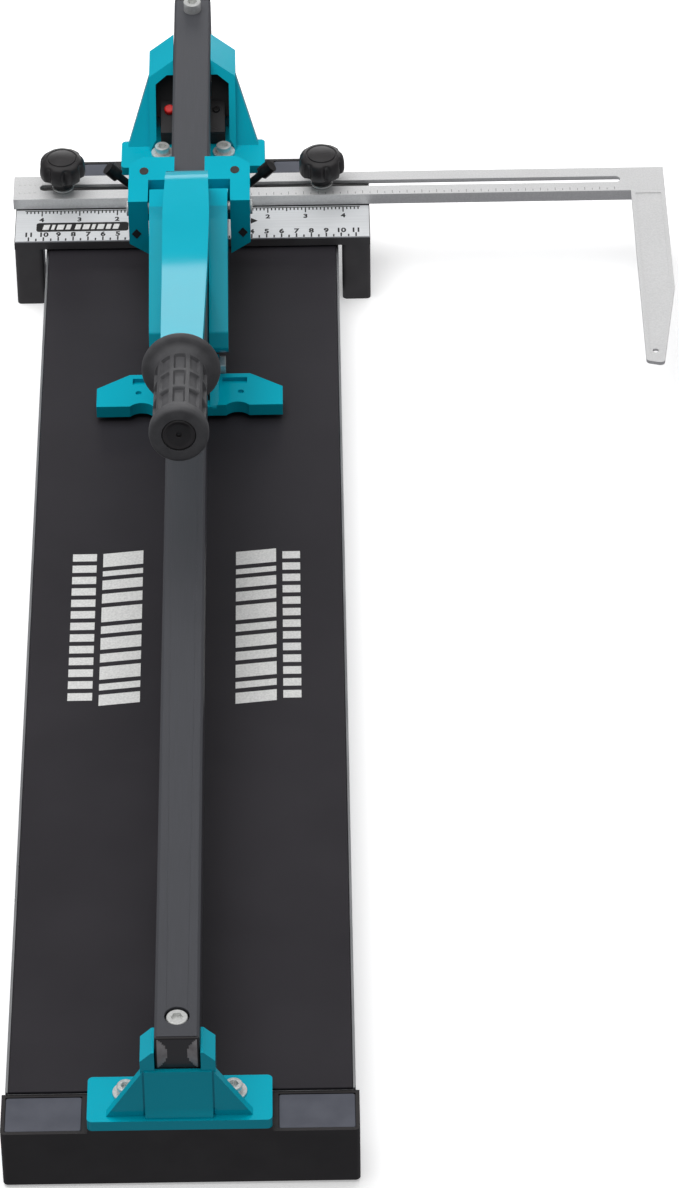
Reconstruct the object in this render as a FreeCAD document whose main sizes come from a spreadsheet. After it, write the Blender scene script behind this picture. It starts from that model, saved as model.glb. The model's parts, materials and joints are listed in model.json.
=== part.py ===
import FreeCAD, Part
import math
import os
import re

import Sketcher

# Manual tile cutter, 800 mm class: a low deck, a square guide rail above it, a carriage with a
# lever, scoring wheel and breaker foot that runs along the rail, and a fence with an angle square.
# +X is right, +Y is to the rear, +Z is up; the origin is the centre of the base's underside.

# The driving dimensions, in millimetres and degrees.
SIZES = {
    # Deck and its end caps
    "deck_length": 864,
    "deck_width": 196,
    "deck_top": 42,
    "deck_plate": 3,
    "deck_wall": 3,
    "deck_under": 5,
    "deck_lip": 1.6,
    "web_offset": 5,
    "pad_thickness": 2,
    "pad_gap": 4.4,
    "breaker_width": 5,
    "breaker_depth": 9,
    "breaker_rise": 0.9,
    "cap_length": 31,
    "cap_over": 2,
    "cap_wall": 3.2,
    "cap_core": 56,
    "cap_corner": 3,
    "inset_depth": 1.2,
    "inset_length": 43,
    "inset_margin": 2.2,
    "foot_thickness": 2,
    "foot_length": 34,
    "foot_width": 20,
    # Guide rail
    "rail_width": 25,
    "rail_height": 30,
    "rail_wall": 2.5,
    "rail_chamfer": 1.5,
    "rail_lift": 34,
    "rail_front_over": 22,
    "rail_rear_over": 129,
    "rail_hole": 14,
    "rail_bolt_head": 12,
    "rail_bolt_shank": 6,
    "rail_bolt_reach": 13,
    "plug_depth": 8,
    "plug_fit": 0.15,
    # Brackets that carry the rail
    "flange_width": 103,
    "flange_thickness": 7,
    "flange_rear": 4,
    "flange_corner": 3,
    "cheek_gap": 0.3,
    "cheek_width": 8,
    "cheek_length": 20,
    "cheek_drop": 9,
    "web_rise": 7,
    "web_slope": 4.8,
    "plug_face": 2.2,
    "cheek_chamfer": 6.5,
    "gusset_reach": 20,
    "bolt_head": 10,
    "bolt_shank": 6,
    "bolt_head_height": 5,
    "bolt_reach": 22,
    "washer_width": 15,
    "washer_thickness": 1.5,
    "rear_flange_width": 98,
    "house_over": 17,
    "house_depth": 31.5,
    "house_lean": 30,
    "house_wall": 4.5,
    "house_gusset": 15,
    "gusset_thickness": 5,
    # Laser unit
    "laser_gap": 3,
    "laser_low": 8,
    "laser_high": 17.2,
    "laser_lid": 2,
    "laser_lens": 5,
    "laser_wall": 1.8,
    "button_fit": 0.1,
    "button_width": 7,
    "button_travel": 2,
    "button_x": 16,
    # Fence, scale and angle square
    "fence_setback": 74,
    "fence_over": 21.5,
    "fence_leg": 19,
    "fence_depth": 27,
    "fence_beam_depth": 66,
    "fence_beam_lift": 1.3,
    "fence_top": 51,
    "fence_screw": 4,
    "fence_screw_x": 62,
    "scale_depth": 35.6,
    "scale_thickness": 1,
    "square_over": 23,
    "square_gap": 0.8,
    "square_width": 26.6,
    "square_rise": 6,
    "square_web": 2.5,
    "square_lip": 3,
    "square_right": 319,
    "square_slot": 6.5,
    "slot_end": 21,
    "slot_inset": 33,
    "leg_width": 23,
    "leg_reach": 191,
    "leg_taper": 82,
    "leg_tip": 11.5,
    "body_gap": 0.3,
    "knob_inset": 10.5,
    "stud_width": 6,
    "knob_hub": 13,
    "knob_lobe": 8.8,
    "knob_pitch": 11.2,
    "knob_lobes": 7,
    "knob_height": 17,
    "knob_stem": 9,
    # Carriage
    "carriage_setback": 123,
    "carriage_over": 27.5,
    "lug_width": 13,
    "lug_length": 27,
    "lug_top": 11,
    "lug_bottom": 32,
    "lug_cut": 9,
    "block_length": 26,
    "block_top": 9,
    "block_drop": 24,
    "block_gap": 20,
    "bridge_length": 9,
    "rail_gap": 1,
    "top_gap": 1.5,
    "upper_roller": 4,
    "upper_roller_width": 3,
    "lower_roller": 5,
    "lower_roller_width": 4,
    "roller_bore": 1.5,
    "roller_fit": 0.05,
    "roller_clear": 0.02,
    "upper_roller_in": 6,
    "lower_roller_in": 18.5,
    "roller_screw": 5,
    "roller_screw_out": 11.4,
    "upper_screw_long": 20,
    "roller_head": 9,
    "roller_head_long": 9,
    # Lever and its grip
    "pivot_in": 13.5,
    "pivot_drop": 4,
    "pivot_root": 12.3,
    "pivot_pin": 8,
    "pivot_fit": 0.05,
    "pivot_head": 10,
    "pivot_head_rise": 1.5,
    "fork_gap": 0.8,
    "fork_width": 12.2,
    "hanger_width": 5,
    "arm_width": 30,
    "arm_root_width": 26,
    "arm_end_width": 25,
    "arm_arch": 18,
    "arm_shoulder": 42,
    "arm_sweep": 180,
    "grip_tilt": 11,
    "grip_width": 32,
    "grip_length": 91,
    "grip_flange": 48,
    "grip_end": 36,
    "grip_bore": 11,
    # Yoke, scoring wheel and breaker foot
    "yoke_slot": 5.4,
    "wheel_width": 20,
    "wheel_thickness": 3,
    "wheel_axle": 5,
    "wheel_bore_fit": 0.05,
    "hinge_pin": 6,
    "hinge_head": 12.4,
    "foot_plate_gap": 0.5,
    "foot_plate": 5.8,
    "foot_reach": 60,
    "foot_depth": 36,
    "foot_lift": 3.5,
    "foot_block": 8.5,
    "foot_round": 5,
    "foot_setback": 8,
    "foot_side": 19,
    "foot_chamfer": 21,
    "foot_scallop": 9.5,
    "foot_scallop_x": 31,
    "foot_dimple": 4,
}

# Places worked out from the sizes above.
PLACES = {
    "deck_front": "-deck_length / 2",
    "deck_rear": "deck_length / 2",
    "pad_top": "deck_top + pad_thickness",
    "rail_base": "pad_top + rail_lift",
    "rail_top": "rail_base + rail_height",
    "rail_front": "deck_front - rail_front_over",
    "rail_rear": "deck_rear + rail_rear_over",
    "rail_half": "rail_width / 2",
    "cheek_inner": "rail_half + cheek_gap",
    "cheek_outer": "cheek_inner + cheek_width",
    "cap_width": "deck_width + 2 * cap_over",
    "fence_width": "deck_width + 2 * fence_over",
    "house_width": "rail_width + 2 * house_over",
    "laser_width": "house_width - 2 * house_wall - 2 * laser_gap",
    "carriage_width": "rail_width + 2 * carriage_over",
    "roller_screw_long": "(carriage_over + roller_screw_out) / 0.70711",
    "fork_inner": "rail_half + fork_gap",
    "fork_outer": "fork_inner + fork_width",
    "yoke_width": "2 * fork_inner - 1.2",
    "front_bolt_x": "cheek_outer + 9.2",
    "rear_bolt_x": "house_width / 2 - 8.5",
    "fence_front": "deck_rear - fence_setback",
    "scale_top": "fence_top + scale_thickness",
    "square_front": "fence_front + scale_depth + square_gap",
    "square_left": "deck_width / 2 + square_over",
    "slot_left": "square_left - slot_end",
    "slot_right": "square_right - slot_inset",
    "knob_x": "deck_width / 2 - knob_inset",
    "square_top": "scale_top + square_rise + square_web",
    "square_rear": "square_front + square_width",
    "slot_y": "square_front + square_width / 2",
    "carriage_front": "deck_rear - carriage_setback",
    "block_front": "carriage_front + lug_length",
    "block_rear": "block_front + block_length",
    "pivot_y": "carriage_front + pivot_in",
    "pivot_z": "rail_top - pivot_drop",
    "lug_inner": "carriage_width / 2 - lug_width",
    "wheel_y": "pivot_y - 87.5",
    "wheel_z": "pad_top + 4.5 + wheel_width / 2",
    "hinge_y": "pivot_y - 110.5",
    "hinge_z": "pad_top + 14",
    "grip_y": "pivot_y - 289",
    "grip_z": "pivot_z + 90.6",
    "yoke_bolt_y": "pivot_y - 72",
    "yoke_bolt_z": "pivot_z - 39.5",
    "front_bolt_y": "deck_front - 6",
    "rear_bolt_y": "rail_rear - 12",
    "rear_flange_front": "deck_rear + 3",
    "laser_front": "rear_flange_front + 26",
    "rear_flange_top": "pad_top + 12.6",
}

X_AXIS = FreeCAD.Vector(1, 0, 0)
Y_AXIS = FreeCAD.Vector(0, 1, 0)
Z_AXIS = FreeCAD.Vector(0, 0, 1)

DOC = FreeCAD.newDocument("tile_cutter")
SHEET = DOC.addObject("Spreadsheet::Sheet", "Sizes")
for row, (word, number) in enumerate(SIZES.items(), start=1):
    SHEET.set("A%d" % row, word)
    SHEET.set("B%d" % row, str(number))
    SHEET.setAlias("B%d" % row, word)
DOC.recompute()

SUB_PARTS = []


def linked(text):
    """Turn the names in an expression into references to the sheet's cells."""
    def swap(match):
        word = match.group(0)
        if word in PLACES:
            return "(" + linked(PLACES[word]) + ")"
        if word in SIZES:
            return "Sizes." + word
        return word
    return re.sub(r"[a-z][a-z_]*", swap, text)


def tie(item, **properties):
    """Bind an object's properties to expressions of the sheet."""
    for name, text in properties.items():
        item.setExpression(name, linked(text))
    return item


def move(item, start, direction=Z_AXIS):
    """Turn an object's own Z to a direction and bind its place."""
    item.Placement = FreeCAD.Placement(FreeCAD.Vector(), FreeCAD.Rotation(Z_AXIS, direction))
    for axis, text in zip("xyz", start):
        item.setExpression("Placement.Base." + axis, linked(text))
    return item


def box(name, low, high):
    """A block between two corners."""
    item = DOC.addObject("Part::Box", name)
    for side, lower, upper in zip(("Length", "Width", "Height"), low, high):
        item.setExpression(side, linked("(" + upper + ") - (" + lower + ")"))
    return move(item, low)


def rod(name, start, radius, length, direction=Z_AXIS):
    """A cylinder that starts at a point and runs in a direction."""
    item = DOC.addObject("Part::Cylinder", name)
    tie(item, Radius=radius, Height=length)
    return move(item, start, direction)


def hexagon(name, start, radius, length, direction=Z_AXIS):
    """A six-sided bar, as in a socket or a nut."""
    item = DOC.addObject("Part::Prism", name)
    item.Polygon = 6
    tie(item, Circumradius=radius, Height=length)
    return move(item, start, direction)


def fuse(name, *items):
    joined = DOC.addObject("Part::MultiFuse", name)
    joined.Shapes = list(items)
    joined.Refine = True
    return joined


def cut(name, base, *tools):
    carved = DOC.addObject("Part::Cut", name)
    carved.Base = base
    carved.Tool = tools[0] if len(tools) == 1 else fuse(name + "_tools", *tools)
    carved.Refine = True
    return carved


def group(name, *items):
    bundle = DOC.addObject("Part::Compound", name)
    bundle.Links = list(items)
    return bundle


def sketch_on(body, plane, outline):
    """A closed outline on one of the body's own planes, each corner bound to the sheet."""
    sketch = body.newObject("Sketcher::SketchObject", body.Name + "_outline")
    planes = {feature.Role: feature for feature in body.Origin.OriginFeatures}
    sketch.AttachmentSupport = (planes[plane + "_Plane"], [""])
    sketch.MapMode = "FlatFace"
    count = len(outline)
    ring = []
    for number in range(count):
        turn = 2 * math.pi * number / count
        ring.append(FreeCAD.Vector(60 * math.cos(turn), 60 * math.sin(turn), 0))
    for number in range(count):
        sketch.addGeometry(Part.LineSegment(ring[number], ring[(number + 1) % count]), False)
    for number in range(count):
        sketch.addConstraint(Sketcher.Constraint("Coincident", number, 2, (number + 1) % count, 1))
    for number, corner in enumerate(outline):
        for kind, text, start in zip(("DistanceX", "DistanceY"), corner, ring[number]):
            rule = sketch.addConstraint(Sketcher.Constraint(kind, -1, 1, number, 1, start))
            sketch.setExpression("Constraints[%d]" % rule, linked(text))
    return sketch


def round_corners(body, sketch, outline):
    """Fillet the padded corners whose outline point names a radius."""
    normal = sketch.Placement.Rotation.multVec(Z_AXIS)
    for radius in sorted({corner[2] for corner in outline if len(corner) > 2}):
        chosen = []
        solid = body.Tip
        for number, corner in enumerate(outline):
            if corner[2:] != (radius,):
                continue
            spot = sketch.Placement.multVec(sketch.Geometry[number].StartPoint)
            for index, edge in enumerate(solid.Shape.Edges, start=1):
                ends = [vertex.Point.sub(spot).cross(normal).Length for vertex in edge.Vertexes]
                if len(ends) == 2 and max(ends) < 1e-4:
                    chosen.append("Edge%d" % index)
        fillet = body.newObject("PartDesign::Fillet", body.Name + "_round")
        fillet.Base = (solid, chosen)
        fillet.setExpression("Radius", linked(radius))
        body.Tip = fillet
        DOC.recompute()


def prism(name, plane, outline, start, length):
    """A straight extrusion of an outline drawn on XY, XZ or YZ, from start along the third axis."""
    body = DOC.addObject("PartDesign::Body", name)
    sketch = sketch_on(body, plane, outline)
    pad = body.newObject("PartDesign::Pad", name + "_pad")
    pad.Profile = sketch
    pad.Reversed = plane == "XZ"
    pad.setExpression("Length", linked(length))
    axis = {"XY": "z", "XZ": "y", "YZ": "x"}[plane]
    body.setExpression("Placement.Base." + axis, linked(start))
    DOC.recompute()
    round_corners(body, sketch, outline)
    return body


def turned(name, outline, start, direction=Z_AXIS):
    """A body of revolution: the outline gives radius and distance along the direction."""
    body = DOC.addObject("PartDesign::Body", name)
    sketch = sketch_on(body, "XZ", outline)
    spin = body.newObject("PartDesign::Revolution", name + "_spin")
    spin.Profile = sketch
    spin.ReferenceAxis = (sketch, ["V_Axis"])
    spin.Angle = 360
    return move(body, start, direction)


def sub_part(item, name):
    """Give a finished piece its name and keep it for the export."""
    item.Label = name
    SUB_PARTS.append((name, item))
    return item


def both_sides(points):
    """A symmetric outline from its right half."""
    return points + [("-(" + u + ")", v) + tuple(rest) for u, v, *rest in reversed(points)]


def socket_bolt(name, top, head, head_height, shank, reach, direction=FreeCAD.Vector(0, 0, -1)):
    """A socket-head bolt whose head's top centre is at a point and whose shank runs away."""
    outline = [
        ("0", "0"), (head + " / 2 - 0.4", "0"), (head + " / 2", "0.4"),
        (head + " / 2", head_height), (shank + " / 2", head_height),
        (shank + " / 2", head_height + " + " + reach), ("0", head_height + " + " + reach),
    ]
    blank = turned(name + "_blank", outline, top, direction)
    socket = hexagon(name + "_socket", top, head + " * 0.29", head_height + " * 0.6", direction)
    return cut(name, blank, socket)


# ---------------------------------------------------------------- deck and end caps

def fence_screw_places():
    """Where the fence is screwed down to the deck."""
    return [(hand + across, "fence_front + 48")
            for hand in ("", "-") for across in ("fence_screw_x", "(fence_screw_x - 30)")]


def fence_screw_bores(name):
    return [rod(name + "ScrewBore", (x, y, "deck_top - 6"), "fence_screw / 2", "20")
            for x, y in fence_screw_places()]


def deck_profile():
    """The extruded aluminium deck: a top plate on side walls, with two webs under the middle."""
    outer = "deck_width / 2"
    inner = outer + " - deck_wall"
    under = "deck_top - deck_plate"
    web = "web_offset + deck_wall"
    outline = both_sides([
        ("breaker_width / 2 + 0.1", "deck_top"), (outer + " - deck_lip", "deck_top"),
        (outer + " - deck_lip", "pad_top"), (outer, "pad_top"), (outer, "deck_under"),
        (inner + " - 6", "deck_under"), (inner + " - 6", "deck_under + deck_wall"),
        (inner, "deck_under + deck_wall"), (inner, under), (web, under),
        (web, "deck_under + deck_wall"), (web + " + 8", "deck_under + deck_wall"),
        (web + " + 8", "deck_under"), ("web_offset", "deck_under"),
        ("web_offset", "deck_top - 12"), ("breaker_width / 2 + 0.1", "deck_top - 12"),
    ])
    half = len(outline) // 2
    right = outline[:half]
    left = outline[half:]
    floor = "deck_top - 15"
    ring = right[:-1] + [("web_offset", floor)] + [("-(web_offset)", floor)] + left[1:]
    ring = ring + [("-(breaker_width / 2 + 0.1)", "pad_top - breaker_depth")]
    ring = ring + [("breaker_width / 2 + 0.1", "pad_top - breaker_depth")]
    plate = prism("DeckExtrusion", "XZ", ring, "deck_front", "deck_length")
    sub_part(cut("DeckProfile", plate, *fence_screw_bores("Deck")), "deck_profile")


def deck_pads():
    for side, sign in (("left", "-"), ("right", "")):
        near = sign + "(pad_gap)"
        far = sign + "(deck_width / 2 - deck_lip - 0.1)"
        outline = [(near, "deck_top"), (near, "pad_top"), (far, "pad_top"), (far, "deck_top")]
        pad = prism("DeckSheet" + side, "XZ", outline, "deck_front", "deck_length")
        sub_part(cut("DeckPad" + side, pad, *fence_screw_bores("Pad" + side)), "deck_pad_" + side)


def breaking_bar():
    """The steel ridge under the score line, over which the tile snaps."""
    outline = both_sides([
        ("breaker_width / 2", "pad_top - breaker_depth"), ("breaker_width / 2", "pad_top - 0.6"),
        ("breaker_width / 2 - 1.2", "pad_top + breaker_rise"),
    ])
    bar = prism("BreakingBar", "XZ", outline, "deck_front + flange_rear + 1",
                "deck_length - flange_rear - 1")
    sub_part(bar, "breaking_bar")


def end_cap(name, inner_face, sign):
    """A moulded end cap: hollow below, with two sunk panels beside the bracket's raised seat."""
    outer_face = inner_face + sign + " cap_length"
    low, high = (outer_face, inner_face) if "-" in sign else (inner_face, outer_face)
    half = "cap_width / 2"
    near = [("-" + half, inner_face), (half, inner_face)]
    far = [(half, outer_face, "cap_corner"), ("-" + half, outer_face, "cap_corner")]
    shell = prism(name + "Shell", "XY", near + far, "foot_thickness", "deck_top - foot_thickness")
    flange = "flange_width / 2" if "-" in sign else "rear_flange_width / 2"
    seat = box(name + "Seat", ("-" + flange, low, "deck_top - 1"), (flange, high, "pad_top"))
    tools = []
    for hand in ("", "-"):
        edges = [hand + "(cap_core / 2)", hand + "(" + half + " - cap_wall)"]
        panel = [hand + "(" + half + " - inset_margin - inset_length)",
                 hand + "(" + half + " - inset_margin)"]
        if hand:
            edges.reverse()
            panel.reverse()
        tools.append(box(name + "Hollow", (edges[0], low + " + cap_wall", "foot_thickness"),
                         (edges[1], high + " - cap_wall", "deck_top - cap_wall - inset_depth")))
        tools.append(box(name + "Panel", (panel[0], low + " + inset_margin", "deck_top - inset_depth"),
                         (panel[1], high + " - inset_margin", "deck_top + 1")))
    bolt_x = "front_bolt_x" if "-" in sign else "rear_bolt_x"
    bolt_y = bracket_bolt_y(sign)
    for hand in ("", "-"):
        tools.append(rod(name + "Bore", (hand + bolt_x, bolt_y, "deck_top - 20"), "bolt_shank / 2", "25"))
    sub_part(cut(name, fuse(name + "Blank", shell, seat), *tools), name)


def bracket_bolt_y(sign):
    return "deck_front - 9" if "-" in sign else "deck_rear + 19"


def rubber_feet():
    """Thin rubber pads under the caps' corners and one taller pad under the deck's middle."""
    feet = []
    for hand in ("", "-"):
        for place in ("deck_front - cap_length / 2", "deck_rear + cap_length / 2"):
            middle = hand + "(cap_width / 2 - 24)"
            low = (middle + " - foot_length / 2", place + " - foot_width / 2", "0")
            high = (middle + " + foot_length / 2", place + " + foot_width / 2", "foot_thickness")
            feet.append(box("RubberFoot", low, high))
    span = "(web_offset + deck_wall + 8)"
    feet.append(box("MiddleFoot", ("-" + span, "-foot_width / 2", "0"),
                    (span, "foot_width / 2", "deck_under")))
    sub_part(group("RubberFeet", *feet), "rubber_feet")


# ---------------------------------------------------------------- guide rail

def rail_outline(width, low, high, chamfer):
    side = width + " / 2"
    return [
        (side, low + " + " + chamfer), (side, high + " - " + chamfer),
        (side + " - " + chamfer, high), ("-(" + side + " - " + chamfer + ")", high),
        ("-" + side, high + " - " + chamfer), ("-" + side, low + " + " + chamfer),
        ("-(" + side + " - " + chamfer + ")", low), (side + " - " + chamfer, low),
    ]


def guide_rail():
    """The square aluminium tube that guides the carriage."""
    outline = rail_outline("rail_width", "rail_base", "rail_top", "rail_chamfer")
    tube = prism("RailTube", "XZ", outline, "rail_front", "rail_rear - (rail_front)")
    inner = "rail_half - rail_wall"
    bore = box("RailBore", ("-(" + inner + ")", "rail_front - 1", "rail_base + rail_wall"),
               (inner, "rail_rear + 1", "rail_top - rail_wall"))
    holes = [bore]
    for name, place in (("Front", "front_bolt_y"), ("Rear", "rear_bolt_y")):
        holes.append(rod("RailBoltHole" + name, ("0", place, "rail_base - 1"),
                         "rail_bolt_shank / 2", "rail_height + 2"))
    holes.append(rod("RailHeadHole", ("0", "front_bolt_y", "rail_top - rail_wall - 1"),
                     "rail_hole / 2", "rail_wall + 2"))
    sub_part(cut("Rail", tube, *holes), "guide_rail")


def rail_plug(name, face, sign):
    """A plastic plug in the rail's end, with a dished face."""
    inner = "rail_half - rail_wall - plug_fit"
    ends = [face + sign + "1.6", face + sign.replace("+", "~").replace("-", "+").replace("~", "-")
            + "plug_depth"]
    if "-" in sign:
        low, high, cap_low, cap_high = ends[0], ends[1], ends[0], face
    else:
        low, high, cap_low, cap_high = ends[1], ends[0], face, ends[0]
    stem = box(name + "Stem", ("-(" + inner + ")", low, "rail_base + rail_wall + plug_fit"),
               (inner, high, "rail_top - rail_wall - plug_fit"))
    cap = box(name + "Cap", ("-(rail_half - 0.2)", cap_low, "rail_base + 0.2"),
              ("rail_half - 0.2", cap_high, "rail_top - 0.2"))
    pit = DOC.addObject("Part::Sphere", name + "Dish")
    tie(pit, Radius="40")
    move(pit, ("0", ends[0] + sign + "38.9", "rail_base + rail_height / 2"))
    sub_part(cut(name, fuse(name + "Solid", stem, cap), pit), name)


def rail_bolts():
    front = socket_bolt("rail_bolt_front", ("0", "front_bolt_y", "rail_top - 1"), "rail_bolt_head",
                        "(rail_wall + 1)", "rail_bolt_shank", "(rail_height + rail_bolt_reach)")
    sub_part(front, "rail_bolt_front")
    rear = socket_bolt("rail_bolt_rear", ("0", "rear_bolt_y", "rail_top + 7"), "rail_bolt_head",
                       "7", "rail_bolt_shank", "(rail_height + 8)")
    sub_part(rear, "rail_bolt_rear")


# ---------------------------------------------------------------- rail brackets

def front_bracket():
    """A die-cast foot: flange, saddle under the rail, two cheeks beside it and side gussets."""
    low = "deck_front - cap_length"
    top = "pad_top + flange_thickness"
    half = "flange_width / 2"
    rear = "deck_front + flange_rear"
    flange = prism("FrontFlange", "XY", [
        ("-" + half, low, "flange_corner"), (half, low, "flange_corner"),
        (half, rear, "flange_corner"), ("-" + half, rear, "flange_corner")], "pad_top",
        "flange_thickness")
    saddle = prism("FrontSaddle", "YZ", [
        (low + " + 1.5", top + " - 2"), (low + " + 1.5", top + " + 3"),
        (low + " + 3.5", top + " + 7"), ("rail_front - web_slope", "rail_base + web_rise"),
        ("rail_front - plug_face", "rail_base + web_rise"), ("rail_front - plug_face", "rail_base"),
        (rear + " - 2", "rail_base"), (rear, top + " - 2")], "-(cheek_outer - 2)",
        "2 * (cheek_outer - 2)")
    parts = [flange, saddle]
    for sign in ("-", ""):
        name = "Left" if sign else "Right"
        cheek = prism("FrontCheek" + name, "XZ", [
            (sign + "(cheek_inner)", "rail_base - 6"),
            (sign + "(cheek_inner)", "rail_top - cheek_drop"),
            (sign + "(cheek_inner + cheek_width - cheek_chamfer)", "rail_top - cheek_drop"),
            (sign + "(cheek_outer)", "rail_top - cheek_drop - cheek_chamfer"),
            (sign + "(cheek_outer)", top + " - 2"),
            (sign + "(cheek_inner)", top + " - 2")],
            "rail_front - 4", "cheek_length")
        gusset = prism("FrontGusset" + name, "XZ", [
            (sign + "(cheek_outer - 1)", top + " - 2"),
            (sign + "(cheek_outer + gusset_reach)", top + " - 2"),
            (sign + "(cheek_outer + gusset_reach)", top),
            (sign + "(cheek_outer - 1)", "rail_base + web_rise")],
            low + " + 4", "gusset_thickness")
        parts = parts + [cheek, gusset]
    tools = [rod("FrontBracketRailBore", ("0", "front_bolt_y", "rail_base - 19"),
                 "rail_bolt_shank / 2", "23")]
    for hand in ("", "-"):
        tools.append(rod("FrontBracketBore", (hand + "front_bolt_x", bracket_bolt_y("-"), "pad_top - 1"),
                         "bolt_shank / 2", "flange_thickness + 2"))
    sub_part(cut("FrontBracket", fuse("FrontBracketBlank", *parts), *tools), "front_bracket")


def bracket_fasteners(name, bolt_x, bolt_y, top):
    """Two socket bolts and two washers that hold a bracket down."""
    bolts = []
    washers = []
    for hand in ("", "-"):
        head_top = ("0 + " if not hand else "") + hand + bolt_x
        spot = (head_top, bolt_y, top + " + washer_thickness + bolt_head_height")
        bolts.append(socket_bolt(name + "Bolt", spot, "bolt_head", "bolt_head_height",
                                 "bolt_shank", "bolt_reach"))
        ring = rod(name + "WasherDisc", (head_top, bolt_y, top), "washer_width / 2",
                   "washer_thickness")
        hole = rod(name + "WasherHole", (head_top, bolt_y, top + " - 1"), "bolt_shank / 2",
                   "washer_thickness + 2")
        washers.append(cut(name + "Washer", ring, hole))
    sub_part(group(name + "Bolts", *bolts), name + "_bolts")
    sub_part(group(name + "Washers", *washers), name + "_washers")


def rear_bracket():
    """A die-cast frame shaped like a house that leans back, with a beam that carries the rail."""
    low = "rear_flange_front"
    top = "rear_flange_top"
    half = "rear_flange_width / 2"
    rear = "deck_rear + cap_length + 3"
    flange = prism("RearFlange", "XY", [
        ("-" + half, low, "flange_corner"), (half, low, "flange_corner"),
        (half, rear, "flange_corner"), ("-" + half, rear, "flange_corner")], "pad_top",
        "rear_flange_top - (pad_top)")
    wall_outer = "house_width / 2"
    shoulder = "rail_top - 11"
    ridge = "rail_top - 2"
    # The house's outline, seen from the front, is cut from a slab that leans back.
    slab = prism("HouseSlab", "YZ", [
        (low + " + 16", top + " - 3"), (low + " + 16 + house_lean * 1.35", ridge + " + 1"),
        (low + " + 16 + house_lean * 1.35 + house_depth", ridge + " + 1"),
        (low + " + 16 + house_depth", top + " - 3")], "-(" + wall_outer + ")", "house_width")
    gable = prism("HouseGable", "XZ", both_sides([
        (wall_outer, top + " - 4"), (wall_outer, shoulder), ("cheek_inner", ridge)]),
        "deck_rear", "120")
    window = prism("HouseWindow", "XZ", both_sides([
        (wall_outer + " - house_wall", top + " - 5"),
        (wall_outer + " - house_wall", shoulder + " - 4"),
        ("cheek_inner + house_wall", ridge + " - 8")]), "deck_rear - 1", "122")
    notch = box("HouseNotch", ("-(cheek_inner)", "deck_rear - 1", "rail_base"),
                ("cheek_inner", "deck_rear + 140", "rail_top + 5"))
    frame = DOC.addObject("Part::MultiCommon", "HouseFrame")
    frame.Shapes = [slab, gable]
    house = cut("House", frame, window)
    beam = prism("RearBeam", "YZ", [
        (low + " + 60", "rail_base - 10"), (low + " + 60", "rail_base"),
        ("rail_rear - 2", "rail_base"), ("rail_rear - 2", "rail_base - 7"),
        (low + " + 78", "rail_base - 14")], "-(rail_half - 2)", "rail_width - 4")
    lean = "house_lean * 0.0262"
    crossbar = prism("RearWall", "YZ", [
        (low + " + 46.5", top + " - 3"), (low + " + 46.5 + 24.4 * " + lean, "rail_base"),
        (low + " + 51 + 24.4 * " + lean, "rail_base"), (low + " + 51", top + " - 3")],
        "-(" + wall_outer + " - 1)", "house_width - 2")
    bed = box("RearBed", ("-(" + wall_outer + ")", rear + " - 12", "pad_top"),
              (wall_outer, low + " + 16 + house_depth", top))
    parts = [flange, house, beam, crossbar, bed]
    for sign in ("-", ""):
        name = "Left" if sign else "Right"
        sheet = prism("GussetSheet" + name, "YZ", [
            (low + " + 22", top + " - 3"), (low + " + 22 + house_lean * 1.35", ridge + " + 1"),
            (low + " + 22 + house_lean * 1.35 + gusset_thickness", ridge + " + 1"),
            (low + " + 22 + gusset_thickness", top + " - 3")],
            "-(" + wall_outer + " + 20)", "house_width + 40")
        wing = prism("GussetWing" + name, "XZ", [
            (sign + "(" + wall_outer + " - 1)", top + " - 2"),
            (sign + "(" + wall_outer + " + house_gusset)", top + " - 2"),
            (sign + "(" + wall_outer + " + house_gusset)", top),
            (sign + "(" + wall_outer + " - 1)", shoulder)],
            "deck_rear", "120")
        gusset = DOC.addObject("Part::MultiCommon", "RearGusset" + name)
        gusset.Shapes = [sheet, wing]
        parts.append(gusset)
    tools = [notch]
    tools.append(rod("RearBracketRailBore", ("0", "rear_bolt_y", "rail_base - 12"),
                     "rail_bolt_shank / 2", "16"))
    for hand in ("", "-"):
        tools.append(rod("RearBracketBore", (hand + "rear_bolt_x", bracket_bolt_y("+"), "pad_top - 1"),
                         "bolt_shank / 2", "30"))
        tools.append(rod("RearBracketSpot", (hand + "rear_bolt_x", bracket_bolt_y("+"), top),
                         "washer_width / 2 + 0.5", "20"))
    sub_part(cut("RearBracket", fuse("RearBracketBlank", *parts), *tools), "rear_bracket")


# ---------------------------------------------------------------- fence, scale and square

def fence_body():
    """The cast fence across the deck: two legs outside the deck and a beam over it."""
    half = "fence_width / 2"
    legs = []
    for name, sign in (("Left", "-"), ("Right", "")):
        inner = sign + "(" + half + " - fence_leg)"
        outer = sign + "(" + half + ")"
        pair = (outer, inner) if sign else (inner, outer)
        legs.append(prism("FenceLeg" + name, "XY", [
            (pair[0], "fence_front", "cap_corner"), (pair[1], "fence_front", "cap_corner"),
            (pair[1], "fence_front + fence_depth", "cap_corner"),
            (pair[0], "fence_front + fence_depth", "cap_corner")], "0", "fence_top"))
    beam = box("FenceBeam", ("-(" + half + ")", "fence_front", "pad_top + fence_beam_lift"),
               (half, "fence_front + fence_beam_depth", "fence_top"))
    tools = []
    for hand in ("", "-"):
        tools.append(rod("FenceStudBore", (hand + "knob_x", "slot_y", "pad_top - 1"),
                         "stud_width / 2 + pivot_fit", "20"))
    tools = tools + fence_screw_bores("Fence")
    sub_part(cut("Fence", fuse("FenceBlank", *legs, beam), *tools), "fence_body")


def fence_screws():
    screws = []
    for x, y in fence_screw_places():
        spot = (x, y, "fence_top + 2.2")
        screws.append(socket_bolt("FenceScrew", spot, "7", "2.2", "fence_screw", "12"))
    sub_part(group("FenceScrews", *screws), "fence_screws")


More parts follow.
